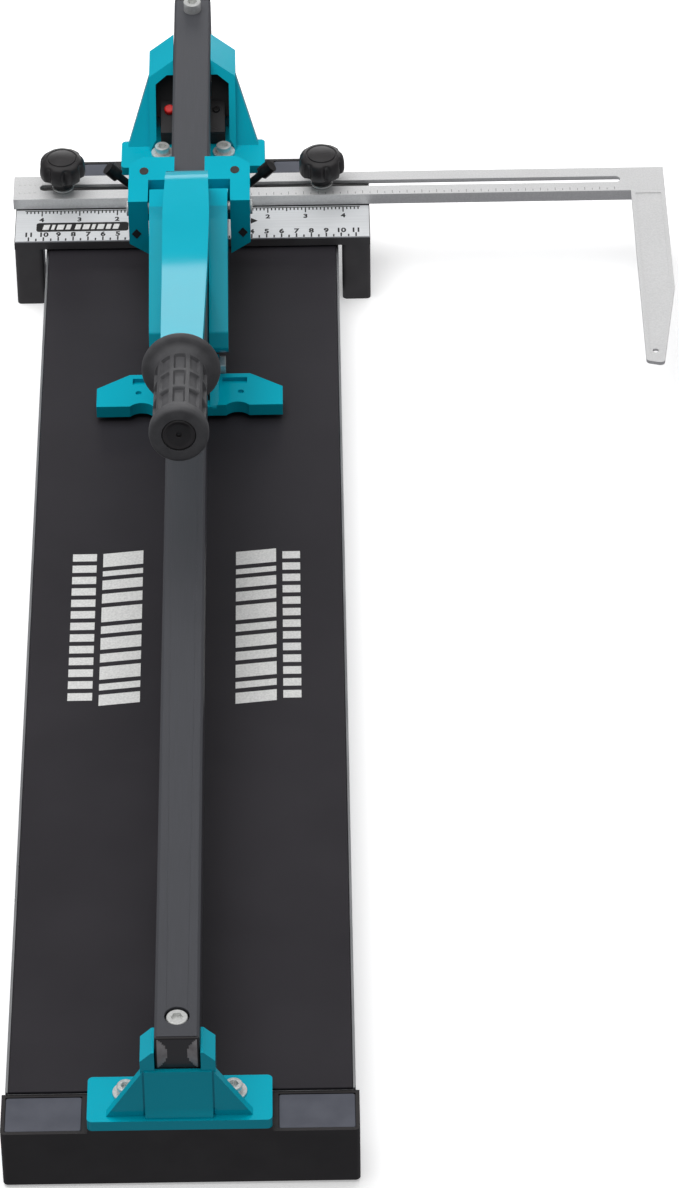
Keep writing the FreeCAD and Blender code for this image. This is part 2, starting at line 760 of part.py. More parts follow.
def scale_plate():
    """The aluminium rule on the fence's front."""
    half = "fence_width / 2 - 0.5"
    plate = box("ScalePlate", ("-(" + half + ")", "fence_front + 0.3", "fence_top"),
                (half, "fence_front + scale_depth", "scale_top"))
    sub_part(plate, "scale_plate")


def square_arm():
    """The angle square's channel-shaped arm, with the slot that the clamp studs run in."""
    low = "scale_top + square_rise"
    web = box("SquareWeb", ("-square_left", "square_front", low),
              ("square_right", "square_rear", "square_top"))
    lips = []
    for name, start, end in (("Front", "square_front", "square_front + square_lip"),
                             ("Rear", "square_rear - square_lip", "square_rear")):
        lips.append(box("SquareLip" + name, ("-square_left", start, "scale_top + 0.3"),
                        ("square_right", end, low + " + 1")))
    slot = box("SquareSlot", ("-slot_left", "slot_y - square_slot / 2", low + " - 1"),
               ("slot_right", "slot_y + square_slot / 2", "square_top + 1"))
    ends = []
    for place in ("-slot_left", "slot_right"):
        ends.append(rod("SquareSlotEnd", (place, "slot_y", low + " - 1"), "square_slot / 2",
                        "square_web + 3"))
    sub_part(cut("SquareArm", fuse("SquareArmBlank", web, *lips), slot, *ends), "square_arm")


def square_leg():
    """The square's leg, which lies along the tile's edge and tapers on its outer side."""
    right = "square_right"
    left = right + " - leg_width"
    front = "square_front - leg_reach"
    low = "scale_top + square_rise"
    outline = [
        (left, front + " + 3", "flange_corner"), (left + " + leg_tip", front, "flange_corner"),
        (right, front + " + leg_taper"), (right, "square_front - 0.1"),
        (left, "square_front - 0.1"),
    ]
    blade = prism("SquareBlade", "XY", outline, low, "square_web")
    rim = prism("SquareRim", "XY", [
        (left + " + 3", front + " + 8"), (left + " + leg_tip - 1.5", front + " + 6"),
        (right + " - 3", front + " + leg_taper + 2"), (right + " - 3", "square_front - 3"),
        (left + " + 3", "square_front - 3")], low + " + square_web - 0.6", "2")
    hole = rod("SquareHole", (left + " + 6.5", front + " + 14", low + " - 1"), "2", "5")
    sub_part(cut("SquareLeg", blade, rim, hole), "square_leg")


def clamp_knobs():
    """Star knobs on studs that clamp the square down on the fence."""
    for side, sign in (("left", "-"), ("right", "0 + ")):
        x = sign + "knob_x"
        base = "square_top + washer_thickness + 2 * body_gap"
        stud = rod("ClampStud" + side, (x, "slot_y", "pad_top + 1"), "stud_width / 2",
                   base + " + knob_stem + 8 - (pad_top + 1)")
        sub_part(stud, "clamp_stud_" + side)
        washer = cut("ClampWasher" + side,
                     rod("ClampDisc" + side, (x, "slot_y", "square_top + body_gap"), "washer_width / 2",
                         "washer_thickness"),
                     rod("ClampDiscHole" + side, (x, "slot_y", "square_top"), "stud_width / 2 + 0.05",
                         "washer_thickness + 1"))
        sub_part(washer, "clamp_washer_" + side)
        stem = turned("KnobHub" + side, [
            ("0", "0"), ("stud_width / 2 + 2.5", "0"), ("stud_width / 2 + 3.5", "knob_stem"),
            ("knob_hub", "knob_stem + 1.5"), ("knob_hub", "knob_stem + knob_height - 3.5"),
            ("knob_hub - 4", "knob_stem + knob_height"), ("0", "knob_stem + knob_height")],
            (x, "slot_y", base))
        lobes = [stem]
        count = int(SIZES["knob_lobes"])
        for number in range(count):
            turn = 2 * math.pi * number / count
            place = (x + " + knob_pitch * %.6f" % math.cos(turn),
                     "slot_y + knob_pitch * %.6f" % math.sin(turn), base + " + knob_stem + 1")
            lobes.append(rod("KnobLobe" + side, place, "knob_lobe / 2", "knob_height - 4"))
        bore = rod("KnobBore" + side, (x, "slot_y", base + " - 1"), "stud_width / 2", "knob_stem + 9")
        sub_part(cut("Knob" + side, fuse("KnobBlank" + side, *lobes), bore), "clamp_knob_" + side)


# ---------------------------------------------------------------- laser unit

def laser_unit():
    """The line laser under the rail: a case, a sloping lid, button, spring, cells, lens and screw."""
    y, z = "laser_front", "rear_flange_top + 0.6"
    half = "laser_width / 2"
    width = "laser_width"
    outer = prism("LaserOuter", "YZ", [
        (y, z), (y, z + " + laser_low"), (y + " + 25", z + " + laser_high"),
        (y + " + 32", z + " + laser_high"), (y + " + 19", z)], "-" + half, width)
    hollow = prism("LaserHollow", "YZ", [
        (y + " + laser_wall", z + " + laser_wall"), (y + " + laser_wall", z + " + laser_low + 4"),
        (y + " + 22", z + " + laser_high + 3"), (y + " + 24", z + " + laser_high - laser_wall"),
        (y + " + 28", z + " + laser_high - laser_wall"), (y + " + 18", z + " + laser_wall")],
        "-(" + half + " - laser_wall)", width + " - 2 * laser_wall")
    eye = rod("LaserEyeBore", ("0", y + " - 1", z + " + 4.4"), "laser_lens / 2", "6", Y_AXIS)
    sub_part(cut("LaserCase", outer, hollow, eye), "laser_case")
    sub_part(rod("LaserLens", ("0", y + " - 0.8", z + " + 4.4"), "laser_lens / 2", "9", Y_AXIS),
             "laser_module")
    rise = (SIZES["laser_high"] - SIZES["laser_low"]) / 25
    inward = FreeCAD.Vector(0, rise, -1)
    lid = prism("LaserLid", "YZ", [
        (y, z + " + laser_low"), (y + " - 0.7", z + " + laser_low + laser_lid"),
        (y + " + 24.3", z + " + laser_high + laser_lid"), (y + " + 25", z + " + laser_high")],
        "-" + half, width)
    y_spot, z_spot = y + " + 17.5", z + " + laser_low + (laser_high - laser_low) * 0.7"
    lift = "laser_lid + button_travel + 0.8"
    button_top = ("-button_x", y_spot + " - (%s) * %.5f" % (lift, math.sin(math.atan(rise))),
                  z_spot + " + (%s) * %.5f" % (lift, math.cos(math.atan(rise))))
    bore = rod("LaserButtonBore", button_top, "button_width / 2 + button_fit", "12", inward)
    screw_top = ("button_x", y_spot + " - 3.3 * %.5f" % math.sin(math.atan(rise)),
                 z_spot + " + 3.3 * %.5f" % math.cos(math.atan(rise)))
    screw = socket_bolt("LaserScrew", screw_top, "5", "1", "2.4", "5", inward)
    screw_bore = rod("LaserScrewBore", screw_top, "1.2", "8", inward)
    sub_part(cut("LaserCover", lid, bore, screw_bore), "laser_cover")
    sub_part(screw, "laser_cover_screw")
    button = turned("LaserButton", [
        ("0", "0"), ("button_width / 2 - 0.7", "0"), ("button_width / 2", "0.7"),
        ("button_width / 2", "button_travel + 3.4"), ("0", "button_travel + 3.4")], button_top, inward)
    sub_part(button, "laser_button")
    cells = []
    for number in range(3):
        place = ("3 + %d * 3.8" % number, y + " + 13", z + " + 6.2")
        cells.append(rod("LaserCell", place, "3.9", "3.6", X_AXIS))
    sub_part(group("LaserCells", *cells), "laser_cells")


# ---------------------------------------------------------------- carriage

def carriage():
    """The cast block that runs on the rail, with two lugs that hold the lever's pivot."""
    half = "carriage_width / 2"
    lug_top = "rail_top + lug_top"
    lug_low = "rail_top - lug_bottom"
    block_high = "rail_top + block_top"
    block_low = "rail_top - block_drop"
    rail_side = "rail_half + rail_gap"
    block = prism("CarriageBlock", "XY", [
        ("-" + half, "block_front"), (half, "block_front"),
        (half, "block_rear - 8", "cap_corner"), (half + " - 9", "block_rear", "cap_corner"),
        ("-(" + half + " - 9)", "block_rear", "cap_corner"),
        ("-" + half, "block_rear - 8", "cap_corner")], block_low, block_high + " - (" + block_low + ")")
    parts = [block]
    tools = [
        box("CarriageChannel", ("-(" + rail_side + ")", "block_front - 1", block_low + " - 1"),
            (rail_side, "block_rear + 1", "rail_top + top_gap")),
        box("CarriageGap", ("-block_gap / 2", "block_front + bridge_length", "rail_top"),
            ("block_gap / 2", "block_rear + 1", block_high + " + 1")),
    ]
    for name, sign in (("Left", "-"), ("Right", "")):
        inner = sign + "(lug_inner)"
        outer = sign + "(" + half + ")"
        lug = prism("CarriageLug" + name, "XZ", [
            (inner, lug_top), (outer, lug_top), (outer, lug_low + " + lug_cut"),
            (inner, lug_low)], "carriage_front", "lug_length")
        parts.append(lug)
        tools.append(rod("CarriagePivotBore" + name, (outer, "pivot_y", "pivot_z"),
                         "pivot_pin / 2", "lug_width + 2", FreeCAD.Vector(1 if sign else -1, 0, 0)))
        near = sign + "(rail_half - 5)"
        far = sign + "(rail_half + 7)"
        pair = (far, near) if sign else (near, far)
        y = "block_front + upper_roller_in"
        tools.append(box("UpperPocket" + name,
                         (pair[0], y + " - upper_roller - 0.5", "rail_top - 4"),
                         (pair[1], y + " + upper_roller + 0.5", "rail_top + 6.6")))
        side = sign + "(rail_half + 9)"
        pair = (side, sign + "(rail_half)") if sign else (sign + "(rail_half)", side)
        y = "block_front + lower_roller_in"
        tools.append(box("LowerPocket" + name,
                         (pair[0], y + " - lower_roller - 0.5", block_low + " - 1"),
                         (pair[1], y + " + lower_roller + 0.5", block_low + " + 3")))
        tools.append(screw_line("LowerScrewBore" + name, sign, "lower", "0", "roller_screw / 2",
                                "roller_screw_long - roller_head_long"))
        tools.append(screw_line("UpperScrewBore" + name, sign, "upper", "0", "roller_bore", "26"))
        tools.append(screw_line("UpperHeadBore" + name, sign, "upper", "upper_screw_long - 0.6",
                                "roller_head / 2 - 0.8", "30"))
    sub_part(cut("Carriage", fuse("CarriageBlank", *parts), *tools), "carriage_block")
    for side, sign in (("left", "-"), ("right", "")):
        roller_set(side, sign)
        outer = sign + "(" + half + ")"
        way = FreeCAD.Vector(1 if sign else -1, 0, 0)
        head = outer + ("-" if sign else "+") + "pivot_head_rise"
        bolt = socket_bolt("PivotBolt" + side, (head, "pivot_y", "pivot_z"), "pivot_head", "pivot_head_rise",
                           "pivot_pin", "(carriage_width / 2 - fork_inner - 0.3)", way)
        sub_part(bolt, "lever_pivot_bolt_" + side)


def roller_centre(sign, level):
    """Centre of a roller that rests on one of the rail's chamfered corners."""
    slant = "(" + level + "_roller + roller_clear) * 0.70711"
    x = sign + "(rail_half - rail_chamfer / 2 + " + slant + ")"
    if level == "upper":
        return x, "block_front + upper_roller_in", "rail_top - rail_chamfer / 2 + " + slant
    return x, "block_front + lower_roller_in", "rail_base + rail_chamfer / 2 - " + slant


def screw_line(name, sign, level, begin, radius, length):
    """A rod along a roller's own slanted axis, begun a distance from the roller's centre."""
    out = -1 if sign else 1
    up = -1 if level == "upper" else 1
    x, y, z = roller_centre(sign, level)
    shift = "(" + begin + ") * 0.70711"
    start = (x + ("+" if out > 0 else "-") + shift, y, z + ("+" if up > 0 else "-") + shift)
    return rod(name, start, radius, length, FreeCAD.Vector(out, 0, up))


def roller_set(side, sign):
    """Two bearings that roll on the rail's corners, and the slanted screws they turn on."""
    for level, length, head in (("upper", "upper_screw_long", "4"),
                                ("lower", "roller_screw_long", "roller_head_long")):
        width = level + "_roller_width"
        ring = screw_line(level + "Ring" + side, sign, level, "-" + width + " / 2", level + "_roller", width)
        hole = screw_line(level + "Hole" + side, sign, level, "-" + width,
                          "roller_bore + roller_fit", "2 * " + width)
        sub_part(cut(level + "Roller" + side, ring, hole), level + "_roller_" + side)
        pin = screw_line(level + "Pin" + side, sign, level, "-" + width + " / 2 - 0.3", "roller_bore",
                         width + " + 2")
        seat = width + " / 2 + 0.3"
        girth = "roller_bore" if level == "upper" else "roller_screw / 2"
        shank = screw_line(level + "Shank" + side, sign, level, seat, girth, length + " - (" + seat + ")")
        crown = screw_line(level + "Crown" + side, sign, level, length + " - 0.5",
                           "roller_head / 2 - 1", head)
        if level == "lower":
            crown = screw_line(level + "Crown" + side, sign, level, length + " - " + head,
                               "roller_head / 2", head)
        sub_part(fuse(level + "Screw" + side, pin, shank, crown), level + "_roller_screw_" + side)


# ---------------------------------------------------------------- lever and grip

def lever_arm():
    """The cast lever: a fork around the rail, an arched arm above it and the grip's core."""
    y, z = "pivot_y", "pivot_z"
    legs = []
    for name, sign in (("Left", "-"), ("Right", "")):
        start = "-(fork_outer)" if sign else "fork_inner"
        leg = prism("ForkLeg" + name, "YZ", [
            (y, z + " - pivot_root"), (y, z + " + pivot_root"),
            (y + " - 20", z + " + 25"), (y + " - 33", z + " + 22", "flange_corner"),
            (y + " - 119", z + " - 13", "flange_corner"),
            (y + " - 124", z + " - 24", "flange_corner"),
            (y + " - 116", z + " - 32", "flange_corner")], start, "fork_outer - fork_inner")
        root = rod("ForkRoot" + name, (start, y, z), "pivot_root", "fork_outer - fork_inner", X_AXIS)
        hanger = prism("ForkHanger" + name, "YZ", [
            (y + " - 60", z + " - 22"), (y + " - 66", z + " - 44"),
            (y + " - 92", z + " - 44"), (y + " - 100", z + " - 26")],
            "-(fork_inner + hanger_width)" if sign else "fork_inner", "hanger_width")
        legs = legs + [leg, root]
    bridge = prism("ForkBridge", "YZ", [
        (y + " - 14", "rail_top + 4"), (y + " - 14", z + " + 25"), (y + " - 33", z + " + 25"),
        (y + " - 44", z + " + 16"), (y + " - 38", "rail_top + 4")], "-(fork_outer)", "2 * fork_outer")
    side = prism("ArmSide", "YZ", [
        (y + " - 14", z + " + 20"), (y + " - 14", z + " + 40", "arm_arch"),
        (y + " - 40", z + " + 58", "arm_shoulder"), (y + " - 150", z + " + 66", "arm_sweep"),
        (y + " - 286", z + " + 96"), (y + " - 288", z + " + 85"),
        (y + " - 152", z + " + 54", "arm_sweep"), (y + " - 52", z + " + 46", "arm_arch"),
        (y + " - 40", z + " + 20")], "-arm_width", "2 * arm_width")
    plan = prism("ArmPlan", "XY", both_sides([
        ("arm_root_width / 2", y + " - 10"), ("arm_width / 2", y + " - 90"),
        ("arm_end_width / 2", y + " - 290")]), z, "120")
    arm = DOC.addObject("Part::MultiCommon", "LeverArm")
    arm.Shapes = [side, plan]
    parts = legs + [bridge, arm]
    tilt = FreeCAD.Vector(0, -1, math.tan(math.radians(SIZES["grip_tilt"])))
    core = turned("GripCore", [
        ("0", "-8"), ("grip_bore / 2", "-8"), ("grip_bore / 2", "grip_length - 4"),
        ("0", "grip_length - 4")], ("0", "grip_y", "grip_z"), tilt)
    tools = [rod("ForkPivotBore", ("-fork_outer - 1", y, z), "pivot_pin / 2 + pivot_fit",
                 "2 * fork_outer + 2", X_AXIS),
             rod("HangerBore", ("-fork_outer - 1", "yoke_bolt_y", "yoke_bolt_z"), "hinge_pin / 2",
                 "2 * fork_outer + 2", X_AXIS)]
    sub_part(cut("Lever", fuse("LeverBlank", *parts, core), *tools), "lever_arm")


def grip_parts():
    """The moulded grip on the lever's end, with a hand-stop flange and a pressed-in end disc."""
    tilt = FreeCAD.Vector(0, -1, math.tan(math.radians(SIZES["grip_tilt"])))
    start = ("0", "grip_y", "grip_z")
    outline = [
        ("grip_bore / 2", "0"), ("grip_flange / 2 - 2", "0"), ("grip_flange / 2", "2.5"),
        ("grip_flange / 2 - 1", "6"), ("grip_width / 2", "10"), ("grip_width / 2", "grip_length - 12"),
        ("grip_end / 2", "grip_length - 9"), ("grip_end / 2", "grip_length - 2"),
        ("grip_end / 2 - 2", "grip_length"), ("10.2", "grip_length"), ("10.2", "grip_length - 3"),
        ("grip_bore / 2", "grip_length - 3"),
    ]
    sub_part(turned("Grip", outline, start, tilt), "lever_grip")
    disc = turned("GripDisc", [
        ("1.6", "grip_length - 2.9"), ("10", "grip_length - 2.9"), ("10", "grip_length - 0.4"),
        ("9", "grip_length + 0.2"), ("7", "grip_length - 0.6"), ("1.6", "grip_length - 0.6")],
        start, tilt)
    sub_part(disc, "grip_end_disc")


# ---------------------------------------------------------------- yoke, wheel and foot

def wheel_yoke():
    """The holder under the rail for the scoring wheel, and the hangers that carry it."""
    half = "yoke_width / 2"
    y, z = "pivot_y", "pivot_z"
    body = prism("YokeBody", "YZ", [
        (y + " - 66", z + " - 44"), (y + " - 66", z + " - 36", "flange_corner"),
        (y + " - 118", z + " - 38", "flange_corner"), (y + " - 118", z + " - 50", "flange_corner"),
        (y + " - 100", z + " - 53", "flange_corner"), (y + " - 78", z + " - 51", "flange_corner")],
        "-" + half, "yoke_width")
    slot = box("YokeSlot", ("-yoke_slot / 2", y + " - 101", z + " - 60"),
               ("yoke_slot / 2", y + " - 74", z + " - 35"))
    axle = rod("YokeAxleBore", ("-20", "wheel_y", "wheel_z"), "wheel_axle / 2", "40", X_AXIS)
    pin = rod("YokePinBore", ("-25", "hinge_y", "hinge_z"), "hinge_pin / 2", "50", X_AXIS)
    bolt = rod("YokeBoltBore", ("-25", "yoke_bolt_y", "yoke_bolt_z"), "hinge_pin / 2", "50", X_AXIS)
    sub_part(cut("Yoke", body, slot, axle, pin, bolt), "wheel_yoke")
    reach = "fork_inner + hanger_width"
    sub_part(cross_bolt("YokeBolt", reach, "yoke_bolt_y", "yoke_bolt_z"), "yoke_bolt")
    shaft = rod("WheelAxle", ("-" + half, "wheel_y", "wheel_z"), "wheel_axle / 2", "yoke_width", X_AXIS)
    sub_part(shaft, "wheel_axle")
    bore = "wheel_axle / 2 + wheel_bore_fit"
    wheel = turned("ScoringWheel", [
        (bore, "0"), ("wheel_width / 2 - 3", "0"), ("wheel_width / 2", "wheel_thickness / 2"),
        ("wheel_width / 2 - 3", "wheel_thickness"), (bore, "wheel_thickness")],
        ("-wheel_thickness / 2", "wheel_y", "wheel_z"), X_AXIS)
    sub_part(wheel, "scoring_wheel")
    reach = "yoke_width / 2 + foot_plate_gap + foot_plate + 0.3"
    sub_part(cross_bolt("HingeBolt", reach, "hinge_y", "hinge_z"), "foot_hinge_bolt")


def cross_bolt(name, reach, y, z):
    """A hexagon-head bolt with a nut, across the centre plane."""
    shank = rod(name + "Shank", ("-(" + reach + ") - 1", y, z), "hinge_pin / 2",
                "2 * (" + reach + ") + 2", X_AXIS)
    head = hexagon(name + "Head", (reach, y, z), "hinge_head / 2", "4", X_AXIS)
    nut = hexagon(name + "Nut", ("-(" + reach + ") - 5", y, z), "hinge_head / 2", "5", X_AXIS)
    return fuse(name, shank, head, nut)


def breaker_foot():
    """The swivelling foot that presses on both halves of the scored tile."""
    inner = "yoke_width / 2 + foot_plate_gap"
    outer = inner + " + foot_plate"
    low = "pad_top + foot_lift"
    y, z = "hinge_y", "hinge_z"
    front, rear = y + " - foot_depth - 4", y + " + 1"
    parts = []
    for name, sign in (("Left", "-"), ("Right", "")):
        start = "-(" + outer + ")" if sign else inner
        plate = prism("FootPlate" + name, "YZ", [
            (front, low), (front, low + " + 7", "flange_corner"), (y + " - 14", z + " + 6.5"),
            (y + " + 6", z + " + 6.5", "foot_round"), (y + " + 6", z + " - 6", "foot_round"),
            (y + " - 6", low)], start, "foot_plate")
        wing_outer = sign + "(foot_reach)"
        wing_inner = sign + "(" + outer + " - 1)"
        wing_rear = rear + " - foot_setback"
        wing = prism("FootWing" + name, "XY", [
            (wing_inner, front), (wing_outer, front), (wing_outer, front + " + foot_side"),
            (sign + "(foot_reach - foot_chamfer)", wing_rear),
            (wing_inner, wing_rear)], low, "foot_block")
        parts = parts + [plate, wing]
    tie_bar = box("FootTie", ("-(" + inner + " + 1)", front, low),
                  (inner + " + 1", front + " + 7", low + " + 7"))
    blank = fuse("FootBlank", *parts, tie_bar)
    tools = [rod("FootPinBore", ("-30", y, z), "hinge_pin / 2 + pivot_fit", "60", X_AXIS)]
    for name, sign in (("Left", "-"), ("Right", "")):
        pair = [sign + "(" + outer + " + 2)", sign + "(foot_reach - foot_chamfer - 2)"]
        if sign:
            pair.reverse()
        wing_top = low + " + foot_block"
        tools.append(box("FootTrough" + name, (pair[0], wing_rear + " - 10", wing_top + " - 3"),
                         (pair[1], wing_rear + " - 4", wing_top + " + 2")))
        tools.append(rod("FootScallop" + name, (sign + "(foot_scallop_x)", front + " - 6", low + " - 1"),
                         "foot_scallop", "foot_block + 2"))
        dimple_x = sign + "(foot_scallop_x + 2)"
        tools.append(rod("FootDimple" + name, (dimple_x, front + " + 14", wing_top + " - 2"),
                         "foot_dimple / 2", "4"))
    sub_part(cut("Foot", blank, *tools), "breaker_foot")
    pads = []
    for name, sign in (("Left", "-"), ("Right", "")):
        pair = [sign + "(" + outer + " + 2)", sign + "(foot_reach - 4)"]
        if sign:
            pair.reverse()
        pads.append(box("FootPad" + name, (pair[0], front + " + 8", low + " - 1.5"),
                        (pair[1], front + " + 18", low)))
    sub_part(group("FootPads", *pads), "foot_pads")


deck_profile()
deck_pads()
breaking_bar()
end_cap("front_cap", "deck_front", " - ")
end_cap("rear_cap", "deck_rear", " + ")
rubber_feet()
guide_rail()
rail_plug("rail_plug_front", "rail_front", " - ")
rail_plug("rail_plug_rear", "rail_rear", " + ")
rail_bolts()
front_bracket()
bracket_fasteners("front_bracket", "front_bolt_x", bracket_bolt_y("-"), "pad_top + flange_thickness")
rear_bracket()
bracket_fasteners("rear_bracket", "rear_bolt_x", bracket_bolt_y("+"), "rear_flange_top")
fence_body()
fence_screws()
scale_plate()
square_arm()
square_leg()
clamp_knobs()
laser_unit()
carriage()
lever_arm()
grip_parts()
wheel_yoke()
breaker_foot()
DOC.recompute()


def fault_list():
    """Every object that failed, and every sub-part without a sound shape."""
    faults = []
    for item in DOC.Objects:
        if "Invalid" in item.State or "Error" in item.State:
            faults.append(item.Name + " failed")
    for name, item in SUB_PARTS:
        if item.Shape.isNull() or not item.Shape.isValid() or not item.Shape.Solids:
            faults.append(name + " has no valid solid")
    return faults


problems = fault_list()
if problems:
    raise SystemExit("\n".join(problems))
os.makedirs("parts", exist_ok=True)
for name, item in SUB_PARTS:
    item.Shape.exportStep("parts/" + name + ".step")
print(len(SUB_PARTS), "sub-parts written")
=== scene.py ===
# %% [markdown]
# # A manual tile cutter
# The cutter is a long low deck with a guide rail above it. A carriage with a lever runs on the rail,
# and a fence with a printed scale and an angle square lies across the far end.
# The measured parts come from the frame. This lesson gives them their real finishes and adds what
# a machine drawing leaves out: the grip's moulded pattern, the knobs' scallops, the printed marks.

# %% Load the frame
import json
import math

import bmesh
import bpy
from mathutils import Matrix, Vector


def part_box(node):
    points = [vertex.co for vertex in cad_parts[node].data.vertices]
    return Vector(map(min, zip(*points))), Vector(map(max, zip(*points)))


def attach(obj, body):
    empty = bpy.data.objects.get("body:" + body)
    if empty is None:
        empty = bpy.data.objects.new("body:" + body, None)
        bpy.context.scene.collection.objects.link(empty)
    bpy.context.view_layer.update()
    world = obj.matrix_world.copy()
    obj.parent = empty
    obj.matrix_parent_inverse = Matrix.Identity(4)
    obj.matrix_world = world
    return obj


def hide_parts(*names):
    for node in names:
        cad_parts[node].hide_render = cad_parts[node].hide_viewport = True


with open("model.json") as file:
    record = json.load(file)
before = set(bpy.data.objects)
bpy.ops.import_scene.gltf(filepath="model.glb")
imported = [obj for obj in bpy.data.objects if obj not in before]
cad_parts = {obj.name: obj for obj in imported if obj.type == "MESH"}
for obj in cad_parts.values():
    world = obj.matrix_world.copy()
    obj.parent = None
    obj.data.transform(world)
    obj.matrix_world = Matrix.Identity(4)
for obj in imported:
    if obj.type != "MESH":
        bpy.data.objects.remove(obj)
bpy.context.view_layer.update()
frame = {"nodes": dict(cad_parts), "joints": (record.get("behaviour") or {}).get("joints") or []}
nodes = frame["nodes"]

# %% [markdown]
# ## Units and colours
# Blender works in metres and in linear light. Sizes here are easier to read in millimetres and
# colours as the hex values of a paint chart, so two small functions do the turning.

# %% Units and colours
MM = 0.001
TEAL = "#00AAC0"


def linear(code, alpha=1.0):
    """An sRGB hex colour as the linear values that a shader takes."""
    channels = [int(code[i:i + 2], 16) / 255 for i in (1, 3, 5)]
    bent = [c / 12.92 if c <= 0.04045 else ((c + 0.055) / 1.055) ** 2.4 for c in channels]
    return (*bent, alpha)


print("teal in linear light:", [round(c, 3) for c in linear(TEAL)])

# %% [markdown]
# ## One helper for shader nodes
# A material is a graph. One function that adds a node, sets its settings and joins its inputs keeps
# every graph short enough to read in one go.

# %% Shader helper
COAT_ROUGHNESS = 0.08


def add(tree, kind, inputs=None, **settings):
    """Add a node, set its properties, then fill or link its inputs."""
    node = tree.nodes.new(kind)
    for name, value in settings.items():
        setattr(node, name, value)
    for socket, value in (inputs or {}).items():
        if isinstance(value, bpy.types.NodeSocket):
            tree.links.new(value, node.inputs[socket])
        else:
            node.inputs[socket].default_value = value
    return node


def finish(name, colour, roughness, metallic=0.0, ior=1.5, coat=0.0, specular=0.5):
    """A new material with its constant values set on the shader's own sockets."""
    material = bpy.data.materials.new(name)
    material.use_nodes = True
    tree = material.node_tree
    shader = tree.nodes["Principled BSDF"]
    shader.inputs["Base Color"].default_value = linear(colour)
    shader.inputs["Roughness"].default_value = roughness
    shader.inputs["Metallic"].default_value = metallic
    if not metallic:
        shader.inputs["IOR"].default_value = ior
    shader.inputs["Specular IOR Level"].default_value = specular
    shader.inputs["Coat Weight"].default_value = coat
    shader.inputs["Coat Roughness"].default_value = COAT_ROUGHNESS
    return material, tree, shader


def noise(tree, size_mm, stretch=(1, 1, 1), detail=3.0):
    """Noise whose blobs are about size_mm across, stretched along an axis where that is asked for."""
    place = add(tree, "ShaderNodeTexCoord").outputs["Object"]
    scaled = add(tree, "ShaderNodeMapping", {"Vector": place, "Scale": [1 / s for s in stretch]})
    scale = 1 / (size_mm * MM)
    return add(tree, "ShaderNodeTexNoise", {"Vector": scaled.outputs[0], "Scale": scale, "Detail": detail})


def mottle(tree, shader, source, first, second, low=0.35, high=0.65):
    """Let the base colour drift between two close tones."""
    ramp = add(tree, "ShaderNodeMapRange", {"Value": source, "From Min": low, "From Max": high})
    mix = add(tree, "ShaderNodeMix", {"Factor": ramp.outputs[0]}, data_type="RGBA")
    mix.inputs[6].default_value = linear(first)
    mix.inputs[7].default_value = linear(second)
    tree.links.new(mix.outputs[2], shader.inputs["Base Color"])


def vary_gloss(tree, shader, source, low, high):
    """Let the roughness drift between two values, as handled surfaces do."""
    span = add(tree, "ShaderNodeMapRange", {"Value": source, "From Min": 0.3, "From Max": 0.7,
                                            "To Min": low, "To Max": high})
    tree.links.new(span.outputs[0], shader.inputs["Roughness"])


def relief(tree, shader, source, depth_mm, strength=1.0):
    """Raise the surface by a height pattern of a real depth."""
    bump = add(tree, "ShaderNodeBump", {"Height": source, "Distance": depth_mm * MM, "Strength": strength})
    tree.links.new(bump.outputs[0], shader.inputs["Normal"])


# %% [markdown]
# ## Teal powder coat
# The castings lie under a gloss polyester powder coat. Powder melts into a skin
# with a slow waviness, called orange peel, a few millimetres across, so highlights wobble a little.
# Paint is a dielectric with an IOR near 1.5. Its mirror layer is kept low, so the colour stays deep.

# %% Teal powder coat


def teal_powder_coat():
    material, tree, shader = finish("Teal gloss powder coat", TEAL, 0.15, specular=0.24)
    peel = noise(tree, 3.2, detail=1.0).outputs[0]
    relief(tree, shader, peel, 0.03, 0.3)
    cloud = noise(tree, 40, detail=2.0).outputs[0]
    mottle(tree, shader, cloud, "#00A8BE", "#00AEC4", 0.2, 0.8)
    vary_gloss(tree, shader, cloud, 0.13, 0.17)
    return material


# %% [markdown]
# ## Black satin paint
# The fence casting and its legs are sprayed a satin black. The paint follows the sand-cast skin
# below it, so the surface has a fine pebble of about half a millimetre.

# %% Black satin paint


def black_satin_paint():
    material, tree, shader = finish("Black satin paint on casting", "#4E4C4D", 0.34)
    pebble = noise(tree, 0.9, detail=2.0).outputs[0]
    relief(tree, shader, pebble, 0.06, 0.5)
    mottle(tree, shader, noise(tree, 18).outputs[0], "#4B494A", "#535152")
    return material


# %% [markdown]
# ## Deck sheet
# The tile lies on two sheets of dark foam-backed plastic with a fine leather-like grain. The real
# grain is near 0.4 mm, too fine to show, so it is drawn at 1.2 mm. Tiles that slide over it leave
# broad smudges in the gloss.

# %% Deck sheet


def deck_sheet_plastic():
    material, tree, shader = finish("Grained black deck sheet", "#2D2B2F", 0.5, specular=0.18)
    grain = add(tree, "ShaderNodeTexVoronoi", {"Scale": 1 / (1.2 * MM)}, feature="SMOOTH_F1")
    tree.links.new(add(tree, "ShaderNodeTexCoord").outputs["Object"], grain.inputs["Vector"])
    relief(tree, shader, grain.outputs["Distance"], 0.08, 0.35)
    smudge = noise(tree, 70, detail=5.0).outputs[0]
    mottle(tree, shader, smudge, "#2B292D", "#302E32")
    vary_gloss(tree, shader, smudge, 0.46, 0.54)
    return material
